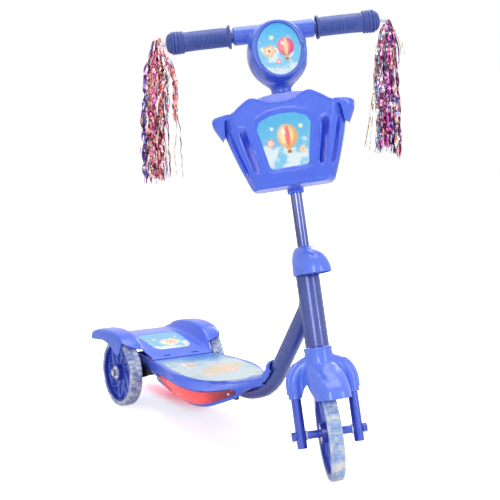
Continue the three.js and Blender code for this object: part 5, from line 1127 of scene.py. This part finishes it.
def cover_relief(p):
    """A shallow seat for the sheet and a fine bead along the front edge."""
    gap = cover_print_gap(p, 0.4)
    seat = np.where(np.abs(p[..., 0]) < 48, -0.4 * (1 - rise(-0.1, 0.6, gap)) + bead(gap, 1.7, 1.2, 0.3), 0)
    return seat + bead(cover_slots(p), 1.2, 1.1, 0.4)


cover_across = np.concatenate([np.linspace(-1, -0.93, 14), np.linspace(-0.925, -0.86, 9),
                               np.linspace(-0.85, 0.85, 120), np.linspace(0.86, 0.925, 9), np.linspace(0.93, 1, 14)])
cover_along = np.concatenate([np.linspace(0, 0.06, 9), np.linspace(0.07, 1, 84)])
cover_parts = Parts()
cover_parts.add(*shell(cover_place, cover_across, cover_along, WALL, hole=cover_slots, relief=cover_relief))
for side in (-1, 1):
    first, last = side * KNUCKLE - 4.4, side * KNUCKLE + 4.4
    cover_parts.add(*turned([(1.95, first), (3.2, first), (3.2, last), (1.95, last)], "x", HINGE, 24, 0.3))
    cover_parts.add(*block((first, 417.4, 88.8), (last, 422.6, 91.6)))
build("cover_moulding", cover_parts, "row", blue_abs, "rear_cover", ["rear_cover"])


def cover_sheet_place(S, T):
    """The cover's sheet follows the saddle, 0.15 mm above it."""
    z = COVER_HEIGHT + SADDLE_RISE * saddle_share((T - 412) / 176)
    return np.stack([S, T, z + 0.15], -1)


cover_print = shell(cover_sheet_place, np.linspace(-43, 43, 65), np.linspace(440, 522, 66), 0.4,
                    hole=lambda p: -cover_print_gap(p))
build("cover_print", Parts().add(*cover_print), "row", cover_sky, "rear_cover", ["cover_sheet"])


# ---------------------------------------------------------------- tubes, column, cap
TUBE_RADIUS, HEAD_RADIUS = 13.2, 16.8  # of the bent tube and of the head tube
FOOT_END, FOOT_RIM = -17.4, 4.0  # a fork leg's lower end, and the depth of the recess inside its rounded rim
TUBE_START = np.array([0, 45.2, 250.5])  # where the bent tube's middle line meets the head tube

rim_turn = np.linspace(0, math.pi / 2, 6)[:-1]
bend_turn = np.linspace(0, math.pi / 2, 13)
foot = np.stack([np.full(5, -LEG_PLACE), np.zeros(5), FOOT_END + FOOT_RIM * (1 - np.sin(rim_turn))], -1)
leg = np.stack([np.full(11, -LEG_PLACE), np.zeros(11), np.linspace(FOOT_END + FOOT_RIM, 66, 12)[1:]], -1)
bend_up = BEND_START + LEG_BEND * np.sin(bend_turn)
bend = np.stack([-CROWN_HALF - LEG_BEND * np.cos(bend_turn), 0 * bend_turn, bend_up], -1)
half_path = np.concatenate([foot, leg, bend])
leg_path = np.concatenate([half_path, half_path[::-1] * [-1, 1, 1]])
leg_radius = np.full(len(leg_path), 7.0)
leg_radius[:5] = 3.2 + 3.8 * np.sin(rim_turn)
leg_radius[-5:] = leg_radius[:5][::-1]
fork_parts = Parts().add(*swept(leg_path, leg_radius, 40, (0, 1, 0)))
fork_parts.add(*turned([(6.6, 104), (8.5, 104), (8.5, 243), (6.6, 243)], sides=48, soft=0.4))
build("fork_tube", fork_parts, "steered", fork_paint, "steering", ["fork"])

head_profile = [(12.5, 119.3), (17.3, 119.3), (17.3, 121.2), (HEAD_RADIUS, 122), (HEAD_RADIUS, 228), (12.5, 228)]
head_points, head_faces = turned(head_profile, sides=64, soft=0.5)
frame_parts = Parts().add(head_points @ turn_x(-RAKE).T + [0, 0, AXLE_HEIGHT], head_faces)
bend_angles = np.linspace(BEND_ANGLE, 0, 40)
lifted = 6 * rise(BEND_ANGLE, math.radians(18), bend_angles)  # where bend and spine meet they lie 6 mm higher
down = bend_point(bend_angles) + lifted[:, None] * np.array([0, 0, 1.0])
straight = TUBE_START + np.linspace(0.08, 0.97, 16)[:, None] * (down[0] - TUBE_START)
spine_along = np.linspace(230, 471.7, 24)
spine = np.stack([0 * spine_along, spine_along, SPINE_HEIGHT + 6 * rise(300, 232, spine_along)], -1)
frame_parts.add(*swept(np.concatenate([straight, down, spine]), TUBE_RADIUS, 48, (1, 0, 0)))
build("frame_tube", frame_parts, "row", tube_paint, "frame", ["main_frame"])


def weld_field(p):
    """The fillet weld: the ring where the bent tube's surface meets the head tube's, as a cord rippled every
    2.4 mm, on the side of the bent tube only."""
    q = (p - [0, 0, AXLE_HEIGHT]) @ turn_x(-RAKE)
    head = np.hypot(q[..., 0], q[..., 1]) - HEAD_RADIUS
    along = unit(down[0] - TUBE_START)
    d = p - TUBE_START
    tube = np.linalg.norm(d - (d @ along)[..., None] * along, axis=-1) - TUBE_RADIUS
    ripple = 0.22 * np.sin(p[..., 2] * 2 * math.pi / 2.4)
    return np.maximum(np.hypot(head, tube) - 2.1 - ripple, 3 - q[..., 1])


weld = Parts().add(*skin(weld_field, (-19, 24, 200), (19, 84, 285), 0.9))
build("weld_bead", weld, "row", tube_paint, "frame")

column_profile = [(6.2, 208), (6.2, 243.4), (8.5, 243.4), (8.5, 566.2), (0.01, 566.2), (0.01, 208)]
column_parts = Parts().add(*turned(column_profile, sides=64, soft=0.3))
build("column_tube", column_parts, "steered", column_paint, "steering", ["column"])
bar_profile = [(3.6, -151.8), (9.5, -151.8), (9.5, 151.8), (3.6, 151.8)]
bar_parts = Parts().add(*turned(bar_profile, "x", (0, 0, BAR_HEIGHT), 48, 0.3))
build("handlebar_tube", bar_parts, "steered", tube_paint, "steering", ["handlebar"])

CAP_FOOT, CAP_TOP, CAP_POWER = 221.0, 262.0, 2.3  # the cap's two heights, and the power of its outline
cap_shares = table([
    [0, 1, 1, 1], [0.2, 0.985, 0.99, 1], [0.4, 0.91, 0.95, 0.99], [0.6, 0.79, 0.875, 0.96], [0.78, 0.62, 0.755, 0.9],
    [0.92, 0.41, 0.59, 0.78], [1, 0.25, 0.45, 0.64],
])


def cap_gap(p, inward=0.0):
    """The visor over the head tube: at each height an egg of front reach 42, half width 24 and rear reach 17.4,
    each times its share from the table."""
    x, v, z = np.abs(p[..., 0]), -p[..., 1], p[..., 2]
    share = np.clip((z - CAP_FOOT) / (CAP_TOP - CAP_FOOT - inward), 0, 1)
    front, half, rear = (size * cap_shares(share, k) - inward for k, size in enumerate((42, 24, 17.4)))
    middle, reach = (front - rear) / 2, (front + rear) / 2
    aside, along = x / half, np.abs(v - middle) / reach
    ring = ((aside**CAP_POWER + along**CAP_POWER) ** (1 / CAP_POWER) - 1) * np.minimum(half, reach) * 0.85
    return -merge(-ring, CAP_TOP - inward - z, 3.0)


def cap_field(p):
    """The visor, open below, with a seat ring round the head tube and a bore for the column."""
    z = p[..., 2]
    out = np.hypot(p[..., 0], p[..., 1])
    body = np.maximum(cap_gap(p), CAP_FOOT - z)
    seat = np.maximum(out - 19.2, 221.2 - z)
    hollow = np.maximum(cap_gap(p, 2.1), -seat)
    inner = np.minimum(np.maximum(out - 17.1, z - 231), out - 8.8)
    return carve(carve(body, hollow, 0.8), inner, 0.3)


build("head_cap_moulding", Parts().add(*skin(cap_field, (-27, -50, 218), (27, 20, 265), 1.1)), "raked", cover_abs,
      "frame", ["head_cap"])


# ---------------------------------------------------------------- wheels
def carried(path, side, up, outline):
    """A flat outline (along side, along up) carried along a path: path + a side + b up, with flat ends."""
    a, b = np.array(outline, float).T
    points = path[:, None] + a[None, :, None] * side[:, None] + b[None, :, None] * up[:, None]
    count, sides = len(path), len(a)
    ends = [list(range(sides))[::-1], [(count - 1) * sides + k for k in range(sides)]]
    return points.reshape(-1, 3), quads(count, sides, True).tolist() + ends


def hub_parts(radius, width):
    """Turned rim, web and boss: the profile's rings are carried round the axle."""
    rim, half = radius - 8.3, width / 2 - 0.9
    inner = rim - 3
    profile = [
        (11.1, -12.6, 0.3), (14, -12.6, 0.9), (14.6, -3.4, 1.5), (17.5, -1.5, 2.5), (inner - 1.2, -1.5, 2.5),
        (inner, -4, 2.0), (inner + 0.6, -half, 0.8), (rim, -half, 0.5), (rim, half, 0.5), (inner + 0.6, half, 0.8),
        (inner, 4, 2.0), (inner - 1.2, 1.5, 2.5), (17.5, 1.5, 2.5), (14.6, 3.4, 1.5), (14, 12.6, 0.9),
        (11.1, 12.6, 0.3), (11.1, 5.6, 0.2), (7.5, 5.6, 0.2), (7.5, -5.6, 0.2), (11.1, -5.6, 0.2),
    ]
    return turned(profile, "x", sides=120, soft=0.5)


def rib_set(radius, ribs=8, boss=13.6):
    """Eight curved ribs a side: a stem leaves the boss and forks in two before the rim; each branch is its share
    of the way to the rim against its turn round the axle."""
    parts = Parts()
    inner = radius - 11.3
    outline = [(-1.05, 0), (-0.95, 2.7), (-0.55, 3.3), (0.55, 3.3), (0.95, 2.7), (1.05, 0)]
    t = np.linspace(0, 1, 14)
    stem = (0.0 + 0.43 * t, 0.32 * t**1.3)
    first = (0.38 + 0.62 * t, 0.3 + 0.52 * t**0.8)
    second = (0.38 + 0.62 * t, 0.3 - 0.2 * t**1.2)
    for k in range(ribs):
        for share, turn in (stem, first, second):
            r = boss + share * (inner + 0.3 - boss)
            angle = 2 * math.pi * k / ribs + turn
            flat = np.stack([0 * r, r * np.cos(angle), r * np.sin(angle)], -1)
            run = unit(np.gradient(flat, axis=0))
            for sign in (-1, 1):
                up = np.tile([sign, 0.0, 0.0], (len(t), 1))
                parts.add(*carried(flat + up * 1.2, np.cross(run, up), up, outline))
    return parts


def tyre_parts(radius, width, blocks, centre):
    """A tyre as a grid: round the axle by its turn and round its section; blocks stand between grooves whose
    depth follows the turn. Where centre is true the middle row is set off by two fine grooves; otherwise one groove
    runs round the middle and the two rows are staggered."""
    half = width / 2
    section = rounded([
        (radius - 8, -half + 0.8, 0.6), (radius - 4.2, -half, 1.0), (radius - 1.6, -half + 1.2, 1.4),
        (radius, -half + 3.6, 1.2), (radius, half - 3.6, 1.2), (radius - 1.6, half - 1.2, 1.4),
        (radius - 4.2, half, 1.0), (radius - 8, half - 0.8, 0.6),
    ], 1.0, 5)
    fine = [section[0]]
    for a, b in zip(section[:-1], section[1:]):
        n = max(1, int(np.linalg.norm(b - a) / 0.85))
        fine += [a + (b - a) * k / n for k in range(1, n + 1)]
    r0, x0 = np.array(fine).T
    turn = np.linspace(0, 2 * math.pi, blocks * 10, endpoint=False)
    phase = turn * blocks / (2 * math.pi)
    shift = 0.0 if centre else np.where(x0 > 0, 0.5, 0.0)[None]
    beat = np.abs((phase[:, None] + shift) % 1 - 0.5) * 2
    reach = rise(radius - 6.2, radius - 3.4, r0)[None]
    depth = 1.5 * rise(0.78, 0.92, beat) * reach
    if centre:
        lane = np.exp(-(((np.abs(x0) - 5.4) / 0.75) ** 2))[None]
        depth = np.maximum(depth * np.where(np.abs(x0) < 5.4, 1.0, 0.55)[None], 1.2 * lane * reach)
    else:
        lane = np.exp(-((x0 / 0.8) ** 2))[None]
        depth = np.maximum(depth, 1.3 * lane * reach)
    r = r0[None] - depth
    c, s = np.cos(turn)[:, None], np.sin(turn)[:, None]
    points = np.stack([np.broadcast_to(x0[None], r.shape), r * c, r * s], -1)
    return points.reshape(-1, 3), quads(len(turn), len(r0), True, True)


def wheel(prefix, gel, radius, width, blocks, centre, where, place):
    """One wheel's hub, ribs and tyre, set in its place on the body of the same name."""
    for part, made, material, slot, replaces in (
        ("hub_disc", Parts().add(*hub_parts(radius, width)), deep_abs, "hub_plastic", [f"{prefix}_hub"]),
        ("hub_ribs", rib_set(radius), rib_highlight_abs, "hub_plastic", []),
        ("tread", Parts().add(*tyre_parts(radius, width, blocks, centre)), gel, "clear_tyre", [f"{prefix}_tyre"]),
    ):
        made.points = [p + np.array(place, float) for p in made.points]
        build(f"{prefix}_{part}", made, where, material, prefix, replaces)


REAR_RADIUS, TRACK_HALF, WHEELBASE = 58.5, 83.5, 482.0

wheel("front_wheel", front_pvc, 67.5, 20, 40, True, "steered", (0, 0, 0))
for side, name in ((-1, "right"), (1, "left")):
    place = (side * TRACK_HALF, WHEELBASE, REAR_RADIUS)
    wheel(f"rear_wheel_{name}", clear_pvc, REAR_RADIUS, 23.5, 42, False, "row", place)

for side, name in ((-1, "right"), (1, "left")):
    points, faces = turned([(4.15, 12.9), (5.6, 12.9), (5.6, 33), (4.15, 33)], "x", sides=40, soft=0.4)
    build(f"front_spacer_sleeve_{name}", Parts().add(points * [side, 1, 1], faces), "steered", fork_paint,
          "steering", [f"front_spacer_{name}"])
    points, faces = turned([(5.7, 31.2), (7.0, 31.2), (7.0, 33.0), (5.7, 33.0)], "x", sides=40, soft=0.3)
    build(f"front_washer_{name}", Parts().add(points * [side, 1, 1], faces), "steered", lens_plug, "steering")


# ---------------------------------------------------------------- grips
GRIP_START, GRIP_LENGTH = 63.0, 91.0
RIDGE_PITCH, DISC_PITCH = 3.6, 4.4


def grip_place(S, T):
    """The grip's skin: S is the turn, T the share along it. Flange, sleeve with two leaf-shaped patches of fine
    ridges (3.6 mm apart), four thin discs (4.4 mm apart), and a domed end."""
    x = GRIP_START + GRIP_LENGTH * T
    radius = 11.6 + 3.7 * (1 - rise(64.6, 65.6, x)) + 0.5 * rise(110, 132, x)
    leaf = 1 - ((x - 96) / 27) ** 2
    turn = (S - math.pi / 2 + math.pi) % (2 * math.pi) - math.pi
    half = np.maximum(leaf, 0.05) ** 0.5
    low, high = np.abs(np.abs(turn) - math.pi * 0.62), np.abs(turn)
    patch = rise(0, 0.25, leaf) * np.maximum(rise(0.62, 0.5, low / half), rise(0.5, 0.38, high / half))
    radius = radius + 1.05 * patch * np.sin(2 * math.pi * x / RIDGE_PITCH)
    disc = np.clip(1.4 * np.cos(2 * math.pi * (x - 132.6) / DISC_PITCH), -0.5, 1)
    disc = disc * rise(129.6, 131.4, x) * rise(147.8, 147.0, x)
    radius = radius + disc * 2.0 + 0.5 * rise(131, 134, x) * rise(147, 146, x)
    dome = np.sqrt(np.clip(1 - ((x - 147) / 7.1).clip(0) ** 2, 0, 1))
    radius = np.where(x > 148, 3.7 + 9.4 * dome, radius)
    return np.stack([x, radius * np.cos(S), BAR_HEIGHT + radius * np.sin(S)], -1)


grip_along = np.concatenate([
    np.linspace(0, 0.012, 3), np.linspace(0.02, 0.03, 4), np.linspace(0.035, 0.72, 170),
    np.linspace(0.723, 0.93, 90), 0.93 + 0.07 * np.sin(np.linspace(0.1, 1, 14) * math.pi / 2),
])
for side, name in ((-1, "right"), (1, "left")):
    points, faces = shell(grip_place, np.linspace(0, 2 * math.pi, 97)[:-1], grip_along, 1.9, True, outward=-1.0)
    build(f"grip_sleeve_{name}", Parts().add(points * [side, 1, 1], faces), "steered", grip_tpr, "steering",
          [f"grip_{name}"])


# ---------------------------------------------------------------- tassels
TASSEL_LENGTH = 207.0
TASSEL_PLACE = (169.0, 0, BAR_HEIGHT)  # the left knot, at the bar's end
TASSEL_HALF, TASSEL_DEEP = 26.4, 15.4  # how far its ribbons may reach to the side, and to front and back
FOIL_THICK = 0.09  # half of it, in millimetres
# Each foil's five tones: its own colour first, then lighter and darker ones that are painted reflections of the
# creased foil, patched along each ribbon
FOILS = {
    "magenta": ["#e04bb0", "#f58ccb", "#8e1760", "#fbd0e6", "#4d0b33"],
    "pink": ["#f48fb0", "#fbc6d2", "#e05c86", "#ffe9ea", "#7d1a40"],
    "maroon": ["#5b0f33", "#8b1747", "#3a0a24", "#d04f7e", "#f2a7b4"],
    "salmon": ["#f29a83", "#f9c7b0", "#d96a58", "#fff0e2", "#9c3240"],
    "violet": ["#7a3ab4", "#a36ad6", "#4b1f7d", "#d7b4ee", "#2c1450"],
    "navy": ["#2d2f80", "#4f5cb8", "#1c1b52", "#8f9be0", "#5a2a86"],
    "steel": ["#7f8fb8", "#a9b7d9", "#50608c", "#dfe6f5", "#39466e"],
    "gold": ["#d9ae57", "#f3dca0", "#a87d33", "#fff3d0", "#6d5226"],
    "cobalt": ["#3550c4", "#5a75e0", "#22348c", "#8fa3f0", "#1b2560"],
}


def ribbons(rng, centre, path, count, spread, half, foils, length, arch):
    """Foil ribbons that follow one path: a table of drop share against sideways distance, seen across the tassel.
    Each leaves the knot over a small arch, hangs in a crinkled wave of 14 to 26 mm, turns slowly about itself, and
    changes every few millimetres between the tones of its foil, whose lighter and darker ones are painted reflections."""
    rows = 64
    t = np.linspace(0, 1, rows)[None]
    own = rng.uniform(-1, 1, (count, 1)) * spread * rise(0, 0.14, t)
    tall = length * rng.uniform(0.93, 1.0, (count, 1)) * path[-1][0] * t
    side = table(path)(t * path[-1][0]) + own
    wave = sum(rng.uniform(0.35, 1, (count, 1)) * size
               * np.sin(2 * math.pi * (tall / rng.uniform(*span, (count, 1)) + rng.random((count, 1))))
               for size, span in ((0.9, (30, 60)), (0.8, (14, 26))))
    deep = rng.uniform(-1, 1, (count, 1)) * min(4.5, 2 + spread) * rise(0, 0.15, t)
    wave = wave * rise(0, 0.1, t)
    x = centre[0] + 1.35 * side + wave
    y = centre[1] - 0.85 * side + deep + 0.7 * np.roll(wave, 3, 0)
    bow = arch * np.sin(math.pi * np.clip(t * 10, 0, 1)) * rng.uniform(0.3, 1, (count, 1))
    inner = 8 * (centre[0] > 0), 8 * (centre[0] < 0)  # room towards the scooter's middle
    x = np.clip(x, centre[0] - TASSEL_HALF - inner[0], centre[0] + TASSEL_HALF + inner[1])
    y = np.clip(y, centre[1] - TASSEL_DEEP, centre[1] + TASSEL_DEEP)
    line = np.stack([x, y, centre[2] + 0.4 + bow - tall], -1)
    run = unit(np.gradient(line, axis=1))
    twist = rng.uniform(0, 2 * math.pi, (count, 1))
    twist = twist + 1.8 * np.sin(2 * math.pi * (tall / rng.uniform(40, 90, (count, 1)) + rng.random((count, 1))))
    flat = np.stack([np.cos(twist), np.sin(twist), 0 * twist], -1)
    flat = unit(flat - run * (flat * run).sum(-1, keepdims=True))
    face = np.cross(run, flat) * FOIL_THICK
    wide = half * rng.uniform(0.65, 1.2, (count, 1)) * (0.5 + 0.5 * rise(0, 0.1, t)) * (1 - 0.6 * rise(0.96, 1, t))
    edge = flat * wide[..., None]
    ring = np.stack([line - edge - face, line + edge - face, line + edge + face, line - edge + face], 2)
    ring[..., 2] = np.minimum(ring[..., 2], centre[2] + arch + 0.8)
    # painted reflections: each few-millimetre patch of a ribbon takes one tone of its foil, the lighter and darker
    # ones standing for the creases' reflections
    tones = np.array([[srgb(c) for c in FOILS[name]] for name in foils])
    kind = rng.integers(0, len(foils), (count, 1))
    patch = np.cumsum(rng.random((count, rows)) < 0.42, 1)
    pick = rng.choice(5, (count, rows + 1), p=[0.34, 0.24, 0.16, 0.14, 0.12])
    return ring, tones[kind, np.take_along_axis(pick, patch, 1)]


def tassel(name, side, seed, arch, locks):
    """One tassel: every lock is a table of its path, how many ribbons, their spread and half width, and its foils."""
    rng = np.random.default_rng(seed)
    centre = to_row([np.array(TASSEL_PLACE) * [side, 1, 1]], "steered")[0] * 1000 - ROW_SHIFT
    parts = Parts()
    for path, count, spread, half, foils in locks:
        ring, colour = ribbons(rng, centre, path, count, spread, half, foils.split(), TASSEL_LENGTH, arch)
        rows = ring.shape[1]
        strip = quads(rows, 4, True).tolist() + [[3, 2, 1, 0], [(rows - 1) * 4 + k for k in range(4)]]
        for points, tint in zip(ring, colour):
            parts.add(points, strip, np.repeat(tint, 4, 0))
    build(name, parts, "row", foil_film, "steering", [name.replace("foil_", "")], sharp=30)


tassel("foil_tassel_right", -1, 7, 17, [
    ([[0, 0], [0.06, -1], [0.3, -2], [0.6, -3], [0.85, -2.5], [0.97, -2]],
     23, 8.0, 1.5, "magenta pink pink maroon salmon maroon"),
    ([[0, 0], [0.05, 1], [0.2, 3], [0.5, 3], [0.64, 0], [0.86, 2], [0.98, 3]],
     11, 6.5, 1.2, "maroon pink magenta salmon steel"),
    ([[0, 0], [0.06, -4], [0.2, -8.5], [0.36, -9], [0.52, -11], [0.7, -10], [0.97, -9.5]],
     9, 1.8, 1.6, "navy violet navy maroon"),
    ([[0, 0], [0.1, -5], [0.3, -7], [0.45, -12], [0.6, -14.5], [0.78, -15.5]], 1, 0, 0.6, "salmon"),
    ([[0, 0], [0.1, 6], [0.3, 8.6], [0.5, 9], [0.7, 10.5], [0.95, 12]], 2, 0.5, 0.7, "maroon salmon"),
    ([[0, 0], [0.04, 3.5], [0.09, 7.5], [0.16, 12], [0.24, 15.5], [0.34, 16.5], [0.44, 16], [0.53, 17]],
     8, 1.3, 1.6, "pink salmon maroon pink"),
    ([[0, 0], [0.06, 7], [0.16, 14.5], [0.3, 18], [0.5, 17.6], [0.62, 18.5], [0.74, 16.5], [0.93, 18.5]],
     1, 0, 0.8, "gold"),
    ([[0, 0], [0.06, 8], [0.16, 15], [0.3, 18.5], [0.5, 19], [0.65, 22.5], [0.95, 25]], 1, 0, 0.7, "steel"),
    ([[0, 0], [0.1, -7], [0.3, -8.4], [0.42, -8]], 3, 0.8, 0.7, "gold navy"),
])
tassel("foil_tassel_left", 1, 11, 3.0, [
    ([[0, 0], [0.08, 0], [0.3, -1], [0.5, 0], [0.75, 1], [0.95, 2]],
     20, 6.0, 1.5, "magenta maroon violet magenta pink maroon"),
    ([[0, 0], [0.08, 2.5], [0.3, 5.5], [0.5, 8.5], [0.75, 11], [0.98, 12.5]],
     11, 3.2, 1.4, "violet maroon navy salmon pink"),
    ([[0, 0], [0.1, -4.5], [0.3, -7.5], [0.5, -7.5], [0.7, -4.5], [0.95, -5]],
     12, 2.2, 1.3, "pink gold salmon steel"),
    ([[0, 0], [0.1, -5], [0.3, -8.6], [0.5, -11.5], [0.67, -13.5], [0.93, -18]], 2, 0.5, 1.0, "gold"),
    ([[0, 0], [0.3, -6], [0.5, -9], [0.75, -11], [0.98, -13]], 1, 0, 0.6, "steel"),
    ([[0, 0], [0.3, 3], [0.5, 5], [0.62, 7.5], [0.92, 7.5]], 4, 0.8, 2.1, "cobalt navy"),
    ([[0, 0], [0.3, -2], [0.55, -3], [0.72, -4], [0.84, -4.6]], 4, 0.8, 1.8, "navy steel"),
    ([[0, 0], [0.05, 4], [0.1, 8], [0.17, 12.5], [0.26, 15.5]], 2, 0.6, 0.5, "gold steel"),
    ([[0, 0], [0.12, 6], [0.22, 9.5], [0.33, 10]], 3, 0.8, 1.2, "maroon navy"),
])


# ---------------------------------------------------------------- stage, camera and light
def floor_plane(half, height, material):
    """A flat square floor about the origin."""
    mesh = bpy.data.meshes.new("floor")
    mesh.from_pydata([(x, y, height) for x, y in ((-half, -half), (half, -half), (half, half), (-half, half))], [],
                     [(0, 1, 2, 3)])
    mesh.materials.append(material)
    add_to_scene("floor", mesh)


def paper(name):
    """Seamless white studio paper: matt, with a faint fibre of about 3 mm; away from the object it is so far overlit
    that the camera gets plain white, and beside the deck the lit lenses' red glow is painted on it in an oval."""
    material, tree, shader, at = surface(name, {"Roughness": 0.9, "Specular IOR Level": 0.1})
    fibre = node(tree, "TexNoise", {"Vector": at, "Scale": 330.0, "Detail": 3.0}).outputs["Fac"]
    node(tree, "Mix", {0: fibre, 6: srgb("#f6f6f8"), 7: srgb("#fbfbfc")}, shader["Base Color"], 2, data_type="RGBA")
    flat = node(tree, "VectorMath", {0: at, 1: (1.0, 0.62, 0)}, operation="MULTIPLY").outputs[0]
    far = node(tree, "VectorMath", {0: flat}, operation="LENGTH").outputs["Value"]
    fade = node(tree, "MapRange", {"Value": far, "From Min": 0.08, "From Max": 0.38, "To Min": 0.5},
                interpolation_type="SMOOTHSTEP").outputs["Result"]
    seen = node(tree, "LightPath").outputs["Is Camera Ray"]
    fade = node(tree, "Math", {0: fade, 1: seen}, operation="MULTIPLY").outputs[0]
    node(tree, "Math", {0: fade, 1: 1.2}, shader["Emission Strength"], operation="MULTIPLY")
    # painted glow: a red oval beside the deck, where the lenses' light would fall, is mixed into the paper's emission
    # colour
    lit = node(tree, "VectorMath", {0: at, 1: (0.02, 0.235, 0)}, operation="SUBTRACT").outputs[0]
    lit = node(tree, "VectorMath", {0: lit, 1: (1 / 0.042, 1 / 0.17, 0)}, operation="MULTIPLY").outputs[0]
    lit = node(tree, "VectorMath", {0: lit}, operation="LENGTH").outputs["Value"]
    lit = node(tree, "MapRange", {"Value": lit, "From Min": 1.0, "From Max": 0.0},
               interpolation_type="SMOOTHSTEP").outputs["Result"]
    node(tree, "Mix", {0: lit, 6: (1, 1, 1, 1), 7: srgb("#ff6a5e")}, shader["Emission Color"], 2, data_type="RGBA")
    return material


floor_plane(half=6, height=-0.0004, material=paper("studio_paper"))

# The photograph's camera: its focal length is twice the frame's width
eye = bpy.data.cameras.new("camera")
eye.sensor_width = 36.0
eye.lens = 2 * eye.sensor_width
eye.clip_start, eye.clip_end = 0.05, 60
camera = add_to_scene("camera", eye)
CAMERA_PLACE = (-0.8344, -1.32897, 0.4995)
AZIMUTH, ELEVATION, ROLL = (math.radians(v) for v in (-33.28, 7.49, 0.66))
level = np.array([math.cos(AZIMUTH), math.sin(AZIMUTH), 0])
back = np.array([math.sin(AZIMUTH) * math.cos(ELEVATION), -math.cos(AZIMUTH) * math.cos(ELEVATION),
                 math.sin(ELEVATION)])
over = np.cross(back, level)
right = math.cos(ROLL) * level + math.sin(ROLL) * over
upward = math.cos(ROLL) * over - math.sin(ROLL) * level


def faced(axes, place):
    """The matrix whose columns are an object's three axes and its place."""
    return Matrix([[*row, at] for row, at in zip(np.stack(axes, 1), place)] + [[0, 0, 0, 1]])


camera.matrix_world = faced((right, upward, back), CAMERA_PLACE)
bpy.context.scene.camera = camera


def lamp(name, place, aim, width, height, power):
    """A soft rectangular light that faces a point."""
    light = bpy.data.lights.new(name, "AREA")
    light.shape, light.size, light.size_y, light.energy = "RECTANGLE", width, height, power
    z = unit(np.array(place, float) - np.array(aim, float))
    x = unit(np.cross([0, 0, 1.0] if abs(z[2]) < 0.98 else [0, 1.0, 0], z))
    add_to_scene(name, light).matrix_world = faced((x, np.cross(z, x), z), place)


lamp("overhead", (0.15, 0.1, 2.3), (0, 0, 0.2), 1.6, 1.6, 24)
lamp("left_front", (-1.9, -1.9, 1.5), (0, -0.1, 0.3), 0.8, 1.6, 22)
lamp("right_front", (0.7, -2.4, 1.2), (0, -0.1, 0.3), 0.35, 1.6, 12)
lamp("right_back", (1.8, 1.2, 1.3), (0, 0, 0.3), 0.6, 1.6, 14)
for side in (-1, 1):
    glow = bpy.data.lights.new(f"lens_glow_{side}", "POINT")
    glow.energy, glow.shadow_soft_size, glow.color = 0.05, 0.04, (1.0, 0.2, 0.17)
    placed = add_to_scene(glow.name, glow)
    placed.location = (side * 0.115, 0.03, 0.04)
    placed.visible_camera = placed.visible_glossy = False

# The world lights the object at 0.4, and shows white to the camera, to reflections and through clear plastic
world = bpy.data.worlds.new("studio")
world.use_nodes = True
bpy.context.scene.world = world
sky = world.node_tree.nodes["Background"].inputs
rays = node(world.node_tree, "LightPath").outputs
seen = node(world.node_tree, "Math", {0: rays["Is Camera Ray"], 1: rays["Is Glossy Ray"]}, operation="MAXIMUM")
seen = node(world.node_tree, "Math", {0: seen.outputs[0], 1: rays["Is Transmission Ray"]}, operation="MAXIMUM")
node(world.node_tree, "MapRange", {"Value": seen.outputs[0], "To Min": 0.4, "To Max": 1.0}, sky["Strength"])
sky["Color"].default_value = (1, 1, 1, 1)

bpy.context.scene.view_settings.view_transform = "Standard"
